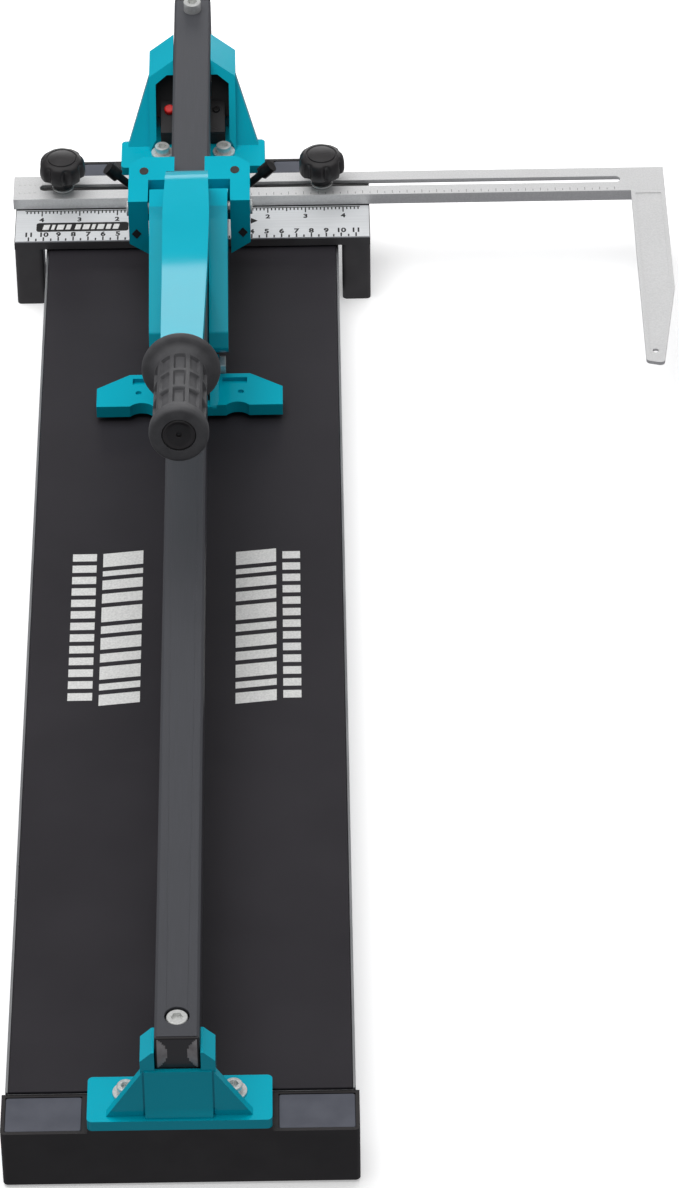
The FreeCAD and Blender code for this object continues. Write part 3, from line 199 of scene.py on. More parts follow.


# %% [markdown]
# ## Moulded black plastic
# End caps, rail plugs and the laser case are glass-filled nylon from a spark-eroded mould: matt,
# with a pebble of just under a millimetre. Nylon's IOR is 1.53. The cap panels and the plug faces
# are smoother. The cap panels' paler grey is a painted reflection of their upward-facing tops, and
# the plugs' paler grey flanks are a painted highlight where the slopes catch the light.

# %% Moulded plastics


def moulded_nylon():
    material, tree, shader = finish("Moulded black nylon", "#2C2A2B", 0.46, ior=1.53, specular=0.35)
    pebble = noise(tree, 0.8, detail=2.0).outputs[0]
    relief(tree, shader, pebble, 0.05, 0.45)
    mottle(tree, shader, noise(tree, 22).outputs[0], "#2A2829", "#302E2F")
    return material


# The cap panels' paler grey is a painted reflection of their upward-facing tops; the haze varies tone and
# gloss at random.
def inlay_plastic():
    material, tree, shader = finish("Smooth grey cap panel, painted reflection", "#54565F", 0.34, ior=1.5, specular=0.3)
    haze = noise(tree, 14, detail=3.0).outputs[0]
    vary_gloss(tree, shader, haze, 0.3, 0.42)
    mottle(tree, shader, haze, "#51535C", "#585A63")
    return material


def plug_plastic_smooth():
    material, tree, shader = finish("Smooth black plug plastic", "#3A393C", 0.3, ior=1.5)
    relief(tree, shader, noise(tree, 2.0, detail=2.0).outputs[0], 0.03, 0.3)
    return material


# The plug's flanks get a paler grey: a painted highlight where the sloping flanks catch the light,
# blotched at random.
def plug_plastic_worn():
    material, tree, shader = finish("Plug flank, painted highlight", "#928F90", 0.34, ior=1.5)
    highlight_blotches = noise(tree, 5, detail=4.0).outputs[0]
    mottle(tree, shader, highlight_blotches, "#827F80", "#A29FA0", 0.3, 0.7)
    vary_gloss(tree, shader, highlight_blotches, 0.28, 0.4)
    return material


def red_abs():
    material, tree, shader = finish("Red ABS button", "#E0201C", 0.25, ior=1.54, coat=0.2)
    relief(tree, shader, noise(tree, 1.0, detail=1.0).outputs[0], 0.03, 0.3)
    return material


# %% [markdown]
# ## Rubber
# The grip is a soft rubber sleeve: no gloss, a fine dust-catching skin and paler worn ridges. The
# feet are the same stuff without the wear. Rubber's IOR is about 1.52.

# %% Rubber


def grip_rubber():
    material, tree, shader = finish("Grey moulded grip rubber", "#4B4B4D", 0.55, ior=1.52, specular=0.4)
    skin = noise(tree, 0.7, detail=3.0).outputs[0]
    relief(tree, shader, skin, 0.05, 0.5)
    wear = noise(tree, 9, detail=4.0).outputs[0]
    mottle(tree, shader, wear, "#464648", "#525254")
    vary_gloss(tree, shader, wear, 0.48, 0.6)
    return material


def knob_phenolic():
    material, tree, shader = finish("Black phenolic knob", "#272526", 0.34, ior=1.6, specular=0.4)
    skin = noise(tree, 1.4, detail=2.0).outputs[0]
    relief(tree, shader, skin, 0.05, 0.4)
    mottle(tree, shader, noise(tree, 8).outputs[0], "#242223", "#2C2A2B")
    return material


def foot_rubber():
    material, tree, shader = finish("Black foot rubber", "#1E1D1D", 0.75, ior=1.52)
    relief(tree, shader, noise(tree, 1.1, detail=3.0).outputs[0], 0.08, 0.5)
    return material


# %% [markdown]
# ## Metals
# Each metal keeps the default IOR, because a metal's colour already says how it reflects. What sets
# them apart is how the surface was made: drawn and anodised along the rail's length, brushed across
# the rule, bright zinc on the bolts, ground steel on the wheel and rollers, black oxide on screws.
# Anodising, the rule's satin skin, a cast face and zinc plate scatter much of their light, so these
# are only part metal. A pure mirror would turn them white or black with the angle.

# %% Metals
LINE_RUN = 60


def drawn_metal(name, colour, other, roughness, line_mm, along, depth_mm=0.02, metallic=1.0,
                specular=0.5):
    """A metal with fine lines along one axis, as drawing, brushing or grinding leaves."""
    material, tree, shader = finish(name, colour, roughness, metallic=metallic, specular=specular)
    stretch = [LINE_RUN if axis == along else 1 for axis in "xyz"]
    lines = noise(tree, line_mm, stretch=stretch, detail=4.0).outputs[0]
    relief(tree, shader, lines, depth_mm, 0.35)
    mottle(tree, shader, lines, colour, other)
    vary_gloss(tree, shader, noise(tree, 30).outputs[0], roughness - 0.05, roughness + 0.06)
    return material


def rail_anodised():
    return drawn_metal("Graphite anodised rail", "#4F5054", "#525358", 0.42, 0.5, "y", depth_mm=0.006,
                       metallic=0.3, specular=0.3)


def deck_aluminium():
    return drawn_metal("Extruded deck aluminium", "#C9CBCC", "#B9BBBD", 0.32, 0.7, "y")


def scale_aluminium():
    return drawn_metal("Satin rule aluminium", "#EAECEE", "#E2E4E6", 0.42, 0.6, "x", metallic=0.3)


def square_aluminium():
    material, tree, shader = finish("Cast square aluminium", "#E2E2E2", 0.36, metallic=0.35)
    cast = noise(tree, 1.1, detail=3.0).outputs[0]
    relief(tree, shader, cast, 0.03, 0.4)
    mottle(tree, shader, cast, "#DCDCDC", "#E8E8E8", 0.3, 0.7)
    vary_gloss(tree, shader, noise(tree, 24).outputs[0], 0.34, 0.4)
    return material


def ground_steel():
    return drawn_metal("Ground steel", "#C4C4C2", "#AEAEAC", 0.25, 0.5, "x")


def bright_zinc():
    material, tree, shader = finish("Bright zinc plate", "#E6E7E5", 0.2, metallic=0.5)
    spangle = noise(tree, 1.6, detail=2.0).outputs[0]
    relief(tree, shader, spangle, 0.02, 0.3)
    mottle(tree, shader, spangle, "#DDDEDC", "#EEEFED")
    return material


def black_oxide():
    material, tree, shader = finish("Black oxide steel", "#242222", 0.38, metallic=0.6)
    stain = noise(tree, 2.5, detail=3.0).outputs[0]
    mottle(tree, shader, stain, "#1D1B1B", "#2E2B2B")
    relief(tree, shader, stain, 0.02, 0.3)
    return material


def turned_brass():
    return drawn_metal("Turned brass barrel", "#B99A57", "#A98B4B", 0.28, 0.4, "x")


# %% [markdown]
# ## Printed ink
# The rule's marks and the deck's graphics are screen-printed: a flat dry ink with slightly ragged
# cover. A light ink on the deck lets a little of the grain through.

# %% Ink


def printed_ink(name, colour, other, speck_mm):
    material, tree, shader = finish(name, colour, 0.6, ior=1.48)
    cover = noise(tree, speck_mm, detail=4.0).outputs[0]
    mottle(tree, shader, cover, colour, other, 0.3, 0.75)
    relief(tree, shader, cover, 0.01, 0.3)
    return material


# %% Make every finish once
paint_teal = teal_powder_coat()
paint_black = black_satin_paint()
sheet_black = deck_sheet_plastic()
nylon = moulded_nylon()
cap_panel_painted_reflection = inlay_plastic()
abs_red = red_abs()
plug_plastic = plug_plastic_smooth()
plug_flank_painted_highlight = plug_plastic_worn()
rubber_grip = grip_rubber()
phenolic = knob_phenolic()
rubber_foot = foot_rubber()
rail_metal = rail_anodised()
deck_metal = deck_aluminium()
scale_metal = scale_aluminium()
square_metal = square_aluminium()
steel = ground_steel()
zinc = bright_zinc()
oxide = black_oxide()
brass = turned_brass()
ink_black = printed_ink("Black rule ink", "#1B1A1B", "#2A292A", 0.8)
ink_grey = printed_ink("Grey engraving fill", "#8C8C8C", "#9A9A9A", 0.8)
ink_white = printed_ink("White deck ink", "#E4E4E2", "#C9C9C8", 1.2)
print(len(bpy.data.materials), "finishes made")

# %% [markdown]
# ## Dress the measured parts
# A part from a machine drawing has knife edges, and a real one has not: castings come out of the
# mould with radii near a millimetre and cut metal is deburred. A weld joins the split corners, a
# bevel rounds them, and weighted normals keep the flat faces flat. The parts' own meshes stay as
# they are, because modifiers do the work.

# %% Dress the measured parts


def ease_edges(node, radius_mm, angle=28):
    """Round a measured part's edges with modifiers."""
    mesh = node.data
    if "custom_normal" in mesh.attributes:
        mesh.attributes.remove(mesh.attributes["custom_normal"])
    for polygon in mesh.polygons:
        polygon.use_smooth = True
    weld = node.modifiers.new("Join corners", "WELD")
    weld.merge_threshold = 0.004 * MM
    bevel = node.modifiers.new("Eased edges", "BEVEL")
    bevel.width = radius_mm * MM
    bevel.segments = 2
    bevel.limit_method = "ANGLE"
    bevel.angle_limit = math.radians(angle)
    bevel.use_clamp_overlap = True
    normals = node.modifiers.new("Flat faces", "WEIGHTED_NORMAL")
    normals.keep_sharp = False


def dress(material, radius_mm, *names):
    for name in names:
        node = nodes[name]
        node.data.materials.clear()
        node.data.materials.append(material)
        ease_edges(node, radius_mm)


dress(paint_teal, 0.9, "front_bracket", "rear_bracket", "carriage_block", "breaker_foot", "wheel_yoke")
dress(paint_teal, 1.1, "lever_arm")
dress(paint_black, 0.8, "fence_body")
dress(sheet_black, 0.4, "deck_pad_left", "deck_pad_right")
dress(nylon, 0.5, "front_cap", "rear_cap", "rail_plug_front", "rail_plug_rear")
dress(nylon, 0.3, "laser_case", "laser_cover")
dress(abs_red, 0.3, "laser_button")
dress(phenolic, 0.2, "grip_end_disc")
dress(rubber_foot, 0.3, "rubber_feet", "foot_pads")
dress(rail_metal, 0.35, "guide_rail")
dress(deck_metal, 0.3, "deck_profile")
dress(scale_metal, 0.15, "scale_plate")
dress(square_metal, 0.35, "square_arm", "square_leg")
dress(steel, 0.12, "breaking_bar", "scoring_wheel", "wheel_axle", "laser_cells",
      "lower_roller_left", "lower_roller_right", "upper_roller_left", "upper_roller_right")
dress(zinc, 0.2, "rail_bolt_front", "rail_bolt_rear", "front_bracket_bolts", "rear_bracket_bolts",
      "front_bracket_washers", "rear_bracket_washers", "fence_screws", "clamp_stud_left",
      "clamp_stud_right", "clamp_washer_left", "clamp_washer_right", "yoke_bolt", "foot_hinge_bolt",
      "lever_pivot_bolt_left", "lever_pivot_bolt_right")
dress(oxide, 0.2, "lower_roller_screw_left", "lower_roller_screw_right",
      "upper_roller_screw_left", "upper_roller_screw_right", "laser_cover_screw")
dress(brass, 0.15, "laser_module")
print("dressed", sum(1 for node in nodes.values() if node.modifiers), "parts")

# %% [markdown]
# ## Building a form
# Every added piece is a stack of rings joined into a closed skin, and one function does that. The
# grip and the knobs are bodies of revolution with something repeated round them: a second function
# spins a profile, and a third pushes each point in or out, which gives the grip its pockets and the
# knob its flutes without any sculpting.

# %% Form helpers


def stacked(form, layers):
    """Join rings of equally many points into one closed skin with a lid at both ends."""
    rings = [[form.verts.new(point) for point in layer] for layer in layers]
    for lower, upper in zip(rings, rings[1:]):
        for index in range(len(lower)):
            after = (index + 1) % len(lower)
            form.faces.new((lower[index], lower[after], upper[after], upper[index]))
    form.faces.new(list(reversed(rings[0])))
    form.faces.new(rings[-1])


def spun(name, profile, segments, shape):
    """Spin (radius, height) points about Z; shape(radius, height, turn) moves the radius."""
    turns = [2 * math.pi * step / segments for step in range(segments)]
    layers = []
    for radius, height in profile:
        layer = []
        for turn in turns:
            reach = shape(radius, height, turn)
            layer.append((reach * math.cos(turn), reach * math.sin(turn), height))
        layers.append(layer)
    form = bmesh.new()
    stacked(form, layers)
    return placed(name, form)


def placed(name, form):
    """Turn a bmesh into an object in the scene."""
    bmesh.ops.recalc_face_normals(form, faces=form.faces)
    mesh = bpy.data.meshes.new(name)
    form.to_mesh(mesh)
    form.free()
    piece = bpy.data.objects.new(name, mesh)
    bpy.context.scene.collection.objects.link(piece)
    return piece


def smooth(piece, angle=35):
    for polygon in piece.data.polygons:
        polygon.use_smooth = True
    piece.data.set_sharp_from_angle(angle=math.radians(angle))


def step_up(value, low, high):
    """0 below low, 1 above high, smooth between."""
    share = min(max((value - low) / (high - low), 0), 1)
    return share * share * (3 - 2 * share)


# %% [markdown]
# ## The grip
# The grip is a moulded rubber sleeve: a hand-stop flange at the arm, a body with rows of shallow
# rectangular pockets, and a bell end with a pressed-in disc. The pockets are worked out from how
# far a point is from its pocket's edges, so each gets soft rubber corners.

# %% The grip
GRIP_FROM_PIVOT = Vector((0, -289, 90.6)) * MM
GRIP_TILT = math.radians(11)
POCKETS_ROUND = 10
POCKET_ROWS = 3
POCKET_DEPTH = 1.9 * MM
POCKET_START = 12.6 * MM
POCKET_PITCH = 22 * MM
SLEEVE_RADIUS = 16
SLEEVE_START = 12.4
SLEEVE_END = 78.6
RING_PITCH = 0.42


def grip_profile():
    """Radius and height along the sleeve, closely spaced where the pockets lie."""
    head = [(5.6, 0.0), (20, 0.0), (22.4, 0.5), (23.6, 1.8), (24, 3.2), (23.5, 4.7), (22.2, 5.8),
            (20.2, 6.3), (18.4, 7.2), (17.2, 8.8), (16.4, 10.6), (16, 12.0)]
    rings = math.ceil((SLEEVE_END - SLEEVE_START) / RING_PITCH)
    sleeve = [(SLEEVE_RADIUS, SLEEVE_START + ring * RING_PITCH) for ring in range(rings)]
    tail = [(16, 79.0), (16.3, 79.6), (16.9, 80.4), (17.5, 81.6), (17.9, 83.2), (18, 85),
            (18, 88), (17.7, 89.8), (16.8, 90.8), (15.6, 91), (10.4, 91), (10.2, 90.6), (10.2, 88.2)]
    return [(radius * MM, height * MM) for radius, height in head + sleeve + tail]


def pocketed(radius, height, turn):
    """Push the sleeve in where a pocket is."""
    row = (height - POCKET_START) / POCKET_PITCH
    if not 0 <= row < POCKET_ROWS:
        return radius
    along = abs(row % 1 - 0.5) * POCKET_PITCH
    around = abs(turn * POCKETS_ROUND / (2 * math.pi) % 1 - 0.5) * 2 * math.pi * radius / POCKETS_ROUND
    inside = (1 - step_up(along, 8.6 * MM, 9.6 * MM)) * (1 - step_up(around, 3.1 * MM, 3.8 * MM))
    return radius - POCKET_DEPTH * inside


lever_pivot = Vector(next(j["pos_m"] for j in frame["joints"] if j["name"] == "lever_pivot"))
grip_start = lever_pivot + GRIP_FROM_PIVOT
grip_way = Vector((0, -math.cos(GRIP_TILT), math.sin(GRIP_TILT)))
grip = spun("grip_sleeve", grip_profile(), 240, pocketed)
grip.data.transform(Matrix.Translation(grip_start) @ Vector((0, 0, 1)).rotation_difference(grip_way)
                    .to_matrix().to_4x4())
smooth(grip, 50)
grip.data.materials.append(rubber_grip)
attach(grip, "lever")
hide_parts("lever_grip")
print("grip faces:", len(grip.data.polygons))

# %% [markdown]
# ## The clamp knobs
# Two phenolic knobs screw down on the square. Each has a slim stem, seven rounded flutes round a
# domed head and a shallow moulded ring on top. The flutes fade out towards the stem and the dome,
# so the depth of the flute is a function of the height.

# %% The clamp knobs
KNOB_FLUTES = 7
FLUTE_DEPTH = 2.9 * MM


def knob_profile():
    points = [(5.5, 0), (6.6, 0.3), (7, 1.2), (6.4, 2.4), (6.2, 5), (6.8, 6.6), (9.4, 7.6),
              (13.2, 8.2), (15, 9.2), (15.5, 11), (15.5, 14), (15.2, 16.8), (14.9, 18.6),
              (14.2, 20.2), (13.1, 21.2), (11.8, 21.8), (10.6, 22.1), (10.3, 21.7), (9.5, 21.7),
              (9.2, 22.3), (6, 22.9), (0.6, 23.2)]
    return [(radius * MM, height * MM) for radius, height in points]


def fluted(radius, height, turn):
    """Rounded flutes that fade towards the stem and the dome."""
    share = step_up(height, 7 * MM, 10.5 * MM) * (1 - step_up(height, 17.5 * MM, 22 * MM))
    wave = max(0, -math.cos(KNOB_FLUTES * turn)) ** 1.3
    return radius - FLUTE_DEPTH * share * wave


for side in ("left", "right"):
    base_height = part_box("clamp_knob_" + side)[0].z
    stud_low, stud_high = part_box("clamp_stud_" + side)
    centre = (stud_low + stud_high) / 2
    knob = spun("star_knob_" + side, knob_profile(), 128, fluted)
    knob.data.transform(Matrix.Translation((centre.x, centre.y, base_height)))
    smooth(knob, 40)
    knob.data.materials.append(phenolic)
    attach(knob, side + "_knob")
    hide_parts("clamp_knob_" + side)
print("two knobs with", KNOB_FLUTES, "flutes each")

# %% [markdown]
# ## Printed marks
# Each mark is a very thin plate on the surface, so it is real geometry and stays sharp from any
# distance. One function gathers flat outlines into one mesh, and the rule, the label and the
# deck's bars are all lists of small outlines.

# %% Printing helper
INK = 0.04 * MM


def printed(name, outlines, height, material, body):
    """Thin plates standing on a surface at a height, one for each outline of (x, y) corners."""
    form = bmesh.new()
    for outline in outlines:
        stacked(form, [[(x, y, level) for x, y in outline] for level in (height, height + INK)])
    piece = placed(name, form)
    piece.data.materials.append(material)
    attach(piece, body)
    return piece


def bar(x, y, wide, tall, slant=0.0):
    """A four-cornered outline from its lower left corner, leaning by slant at its top."""
    return [(x, y), (x + wide, y), (x + wide + slant, y + tall), (x + slant, y + tall)]


# %% [markdown]
# ## The rule
# The plate has a centimetre scale along its front edge and an inch scale along its rear edge, both
# counting outwards from the middle, because the score line is the zero.

# %% The rule
INCH = 25.4 * MM
HALF_CM = 5 * MM
CM_TICK = 1 * MM
INCH_TICK = 0.84 * MM
RULE_LINE = 0.8 * MM
LINE_MARGIN = 1.6 * MM

plate_low, plate_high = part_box("scale_plate")
plate_top = plate_high.z
ticks = []
for step in range(-22, 23):
    tall = (4.2 if step % 2 == 0 else 2.6) * MM
    ticks.append(bar(step * HALF_CM - CM_TICK / 2, plate_low.y + 0.3 * MM, CM_TICK, tall))
for tenth in range(-44, 45):
    tall = (5.4 if tenth % 10 == 0 else 3.8 if tenth % 5 == 0 else 2.6) * MM
    x = tenth * INCH / 10 - INCH_TICK / 2
    ticks.append(bar(x, plate_high.y - LINE_MARGIN - tall, INCH_TICK, tall))
ticks.append(bar(-4.45 * INCH, plate_high.y - LINE_MARGIN, 8.9 * INCH, RULE_LINE))
printed("scale_ticks", ticks, plate_top, ink_black, "base")
print(len(ticks), "ticks")

# %% The rule's numbers
NUMBER_WEIGHT = 0.25 * MM
CM_SIZE = 6.6 * MM
CM_SEAT = 5.2 * MM
INCH_SIZE = 6 * MM
INCH_SEAT = 13.2 * MM


def number_mesh(text, x, y, size):
    """A number as thin plates, centred on a point."""
    curve = bpy.data.curves.new("number", "FONT")
    curve.body = text
    curve.size = size
    curve.align_x = "CENTER"
    curve.extrude = INK / 2
    curve.offset = NUMBER_WEIGHT
    curve.resolution_u = 3
    holder = bpy.data.objects.new("number", curve)
    bpy.context.scene.collection.objects.link(holder)
    bpy.context.view_layer.update()
    mesh = bpy.data.meshes.new_from_object(holder)
    bpy.data.objects.remove(holder)
    mesh.transform(Matrix.Translation((x, y, plate_top + INK / 2)))
    return mesh


form = bmesh.new()
for count in range(-11, 12):
    form.from_mesh(number_mesh(str(abs(count)), count * 2 * HALF_CM, plate_low.y + CM_SEAT, CM_SIZE))
for count in range(-4, 5):
    form.from_mesh(number_mesh(str(abs(count)), count * INCH, plate_high.y - INCH_SEAT, INCH_SIZE))
numbers = placed("scale_numbers", form)
numbers.data.materials.append(ink_black)
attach(numbers, "base")
print("numbers made of", len(numbers.data.polygons), "faces")

# %% [markdown]
# ## The square's engraving
# The square's arm is engraved with centimetres along its front rim, counted from the leg, and the
# cuts are filled with a thin grey. A run of small raised dots marks its far end.

# %% The square's engraving
CUT_WIDTH = 0.4 * MM
CUT_MARGIN = 1.2 * MM
LEG_WIDTH = 24 * MM

arm_low, arm_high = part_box("square_arm")
cuts = []
for step in range(2, 58):
    tall = (3.2 if step % 2 == 0 else 1.9) * MM
    x = arm_high.x - LEG_WIDTH - step * HALF_CM - CUT_WIDTH / 2
    cuts.append(bar(x, arm_low.y + CUT_MARGIN, CUT_WIDTH, tall))
printed("square_engraving", cuts, arm_high.z, ink_grey, "square")

DOT_RADIUS = 0.7 * MM
DOT_SQUASH = Matrix.Diagonal((1, 1, 0.5, 1))
form = bmesh.new()
for row in range(2):
    for column in range(4):
        x = arm_low.x + (4 + 3.4 * column) * MM
        y = arm_low.y + (8 + 9 * row) * MM
        spot = Matrix.Translation((x, y, arm_high.z)) @ DOT_SQUASH
        bmesh.ops.create_uvsphere(form, u_segments=12, v_segments=8, radius=DOT_RADIUS, matrix=spot)
dots = placed("square_dots", form)
smooth(dots)
dots.data.materials.append(square_metal)
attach(dots, "square")
print(len(cuts), "engraved marks")

# %% [markdown]
# ## The label and the deck's graphics
# The real cutter carries words here. They are left out, and plain slanted bars of the same size
# and weight stand in for them, which keeps the balance of light and dark.

# %% Label and graphics
ARC_STEPS = 4


def rounded_bar(x, y, wide, tall, radius):
    """A four-cornered outline with rounded corners, from its lower left corner."""
    corners = [(x + wide - radius, y + radius, -90), (x + wide - radius, y + tall - radius, 0),
               (x + radius, y + tall - radius, 90), (x + radius, y + radius, 180)]
    outline = []
    for centre_x, centre_y, start in corners:
        for step in range(ARC_STEPS + 1):
            turn = math.radians(start + step * 90 / ARC_STEPS)
            outline.append((centre_x + radius * math.cos(turn), centre_y + radius * math.sin(turn)))
    return outline


LABEL_LEFT = -105 * MM
LABEL_FRONT = plate_low.y + 10.6 * MM
LABEL_BARS = (4.2, 2.2, 4.6, 3.2, 0, 3.6, 4.4, 2.4, 4.4, 3.2, 3.8)
LABEL_GAP = 1.5
label = rounded_bar(LABEL_LEFT, LABEL_FRONT, 62 * MM, 10 * MM, 2 * MM)
printed("fence_label", [label], plate_top, ink_black, "base")
stripes = []
x = LABEL_LEFT + 4 * MM
for wide in LABEL_BARS:
    if wide:
        stripes.append(bar(x, LABEL_FRONT + 2.2 * MM, wide * MM, 5.6 * MM, 1.1 * MM))
    x += (wide + LABEL_GAP) * MM
printed("fence_label_stripes", stripes, plate_top + INK, ink_white, "base")
pointer = [(x * MM, plate_low.y + y * MM) for x, y in ((39, 16), (44, 19.5), (39, 23))]
printed("fence_pointer", [pointer], plate_top, ink_black, "base")

GRAPHIC_REAR = 38 * MM
BAR_WIDTHS = (13, 5, 9, 9, 14, 7, 11, 8, 12, 6, 10)
BAR_GAP = 4 * MM
BAR_LENGTH = 25 * MM
BAR_SLANT = 3 * MM
DASH = 7 * MM
DASH_PITCH = 11 * MM
DASHED_RUN = 142 * MM
deck_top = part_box("deck_pad_left")[1].z


def deck_graphic(side):
    """A row of slanted bars and a thin dashed line beside it, running along the deck."""
    inner = (30 if side > 0 else 28) * MM
    dash_wide = (11 if side > 0 else 15) * MM
    left, right = sorted((side * inner, side * (inner + BAR_LENGTH)))
    outlines = []
    y = GRAPHIC_REAR
    for width in BAR_WIDTHS:
        front = y - width * MM
        outlines.append([(left, front), (right, front + BAR_SLANT), (right, y + BAR_SLANT), (left, y)])
        y = front - BAR_GAP
    dash_x = side * (inner + BAR_LENGTH + BAR_GAP + dash_wide / 2) - dash_wide / 2
    for count in range(math.ceil(DASHED_RUN / DASH_PITCH)):
        outlines.append(bar(dash_x, GRAPHIC_REAR - count * DASH_PITCH - DASH, dash_wide, DASH))
    return outlines


for name, side in (("left", -1), ("right", 1)):
    printed("deck_graphic_" + name, deck_graphic(side), deck_top, ink_white, "base")
print("printed", len(stripes), "label bars and", len(BAR_WIDTHS), "bars on each half of the deck")

# %% [markdown]
# ## The rail's end plug
# The plug's face is dished like an hourglass so that a thumb can pull it: two flanks rise towards
# the sides and a waist runs between them. It is a small grid whose depth is worked out point by
# point, from where the point lies across (u) and up (v) the face, both counted from -1 to 1.

# %% The rail's end plug
FLANK = 2.2 * MM
WAIST = 0.5
WAIST_FLARE = 0.42
DISH_STEPS = 24
DISH_PROUD = 0.02 * MM
PLUG_RIM = 1.2 * MM
PLUG_TOP_RIM = 1 * MM
PLUG_SILL = 7.6 * MM


def flank_share(u, v):
    """How far a point has risen up a flank: 0 in the waist, 1 at the middle of a side."""
    return max(0.0, abs(u) - WAIST - WAIST_FLARE * v * v) / (1 - WAIST)


def dished_face(name, low, high, face_y, outward):
    """A grid in the XZ plane whose flanks stand out from the waist, painted paler as a highlight."""
    middle, half = (low + high) / 2, (high - low) / 2
    form = bmesh.new()
    rows = []
    for j in range(DISH_STEPS + 1):
        v = j / DISH_STEPS * 2 - 1
        row = []
        for i in range(DISH_STEPS + 1):
            u = i / DISH_STEPS * 2 - 1
            y = face_y + outward * (DISH_PROUD + FLANK * flank_share(u, v))
            row.append(form.verts.new((middle.x + u * half.x, y, middle.z + v * half.z)))
        rows.append(row)
    for lower, upper in zip(rows, rows[1:]):
        for i in range(DISH_STEPS):
            form.faces.new((lower[i], lower[i + 1], upper[i + 1], upper[i]))
    back = form.verts[:]
    bmesh.ops.extrude_face_region(form, geom=form.faces[:])
    for vertex in back:
        if vertex.is_valid:
            vertex.co.y = face_y
    piece = placed(name, form)
    smooth(piece, 20)
    piece.data.materials.append(plug_plastic)
    piece.data.materials.append(plug_flank_painted_highlight)
    # Faces on the flanks take the paler grey, the painted highlight.
    for polygon in piece.data.polygons:
        u = (polygon.center.x - middle.x) / half.x
        v = (polygon.center.z - middle.z) / half.z
        polygon.material_index = int(flank_share(u, v) > 0)
    return piece


for end, outward in (("front", -1), ("rear", 1)):
    low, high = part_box("rail_plug_" + end)
    face_y = low.y if outward < 0 else high.y
    low += Vector((PLUG_RIM, 0, PLUG_SILL))
    high -= Vector((PLUG_RIM, 0, PLUG_TOP_RIM))
    face = dished_face("plug_face_" + end, low, high, face_y, outward)
    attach(face, "base")
print("flanks stand", round(FLANK / MM, 1), "mm out of each plug")

# %% [markdown]
# ## Blanking plugs on the carriage
# The casting's lugs have diamond-shaped core holes, closed with black plastic plugs from the front,
# and oval ones on the rear shoulders. Each plug stands a hair proud of the paint.

# %% Blanking plugs
PLUG_PROUD = 0.25 * MM
PLUG_DEPTH = 1 * MM
SHOULDER_TOP = 117 * MM
carriage_low, carriage_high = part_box("carriage_block")


def oval(x, y, half_x, half_y, corners):
    """A closed outline round a centre; four corners make a diamond."""
    turns = [2 * math.pi * corner / corners for corner in range(corners)]
    return [(x + half_x * math.cos(turn), y + half_y * math.sin(turn)) for turn in turns]


def black_part(name, layers, body):
    """A stack of rings in moulded nylon."""
    form = bmesh.new()
    stacked(form, layers)
    piece = placed(name, form)
    piece.data.materials.append(nylon)
    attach(piece, body)


for side, sign in (("left", -1), ("right", 1)):
    diamond = oval(sign * 35 * MM, carriage_low.z + 17 * MM, 3.2 * MM, 4 * MM, 4)
    proud = carriage_low.y - PLUG_PROUD
    black_part("lug_plug_" + side, [[(x, y, z) for x, z in diamond] for y in (proud, proud + PLUG_DEPTH)],
               "carriage")
    disc = oval(sign * 30 * MM, carriage_high.y - 16 * MM, 3 * MM, 4 * MM, 24)
    black_part("shoulder_plug_" + side,
               [[(x, y, z) for x, y in disc] for z in (SHOULDER_TOP, SHOULDER_TOP + PLUG_PROUD)],
               "carriage")
print("plugs stand", round(PLUG_PROUD / MM, 2), "mm proud")

# %% [markdown]
# ## The laser's shroud
# A black moulded sheet fills the rear frame behind the laser on both sides of the rail. It leans
# back with the frame and its top corner is cut to follow the roof.

# %% The laser's shroud
FRAME_LEAN = math.tan(math.radians(36.2))
SHROUD_SETBACK = 6 * MM
SHROUD_THICKNESS = 3 * MM
SHROUD_OUTLINE = ((12.7, 66), (24.8, 66), (24.8, 93.5), (18.5, 100), (12.7, 100))
case_rear, case_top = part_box("laser_case")[1].yz


def leaning(x, z, depth):
    """A point on a plane that leans back with the rear frame."""
    return (x, case_rear - SHROUD_SETBACK + (z - case_top) * FRAME_LEAN + depth, z)


for side, sign in (("left", -1), ("right", 1)):
    black_part("laser_shroud_" + side,
               [[leaning(sign * x * MM, z * MM, depth) for x, z in SHROUD_OUTLINE]
                for depth in (0, SHROUD_THICKNESS)], "base")
print("shroud leans back", round(math.degrees(math.atan(FRAME_LEAN)), 1), "degrees")

# %% [markdown]
# ## Panels in the end caps
# Each cap has a recessed panel in its top on both sides of the bracket. A smooth plate with rounded
# corners and a shallow crown lies in each, in a paler grey than the cap: a painted reflection of the
# upward-facing panel.

# %% Cap panels with painted reflection
PANEL_MARGIN = 2.5 * MM
PANEL_LENGTH = 42.4 * MM
PANEL_RECESS_DEPTH = 3.2 * MM
PANEL_PLATE_THICKNESS = 0.9 * MM
PANEL_CORNER = 1.2 * MM
PANEL_CROWN = 0.15 * MM
EDGE_DROP = 0.3 * MM


def cushion_plate(name, low, high):
    """A plate with rounded corners whose middle stands slightly proud."""
    outline = rounded_bar(low.x, low.y, high.x - low.x, high.y - low.y, PANEL_CORNER)
    centre = (low + high) / 2
    layers = []
    for height, share in ((low.z, 1.0), (high.z - EDGE_DROP, 1.0), (high.z, 0.985),
                          (high.z + PANEL_CROWN, 0.8)):
        layers.append([(centre.x + (x - centre.x) * share, centre.y + (y - centre.y) * share, height)
                       for x, y in outline])
    form = bmesh.new()
    stacked(form, layers)
    piece = placed(name, form)
    smooth(piece, 30)
    return piece


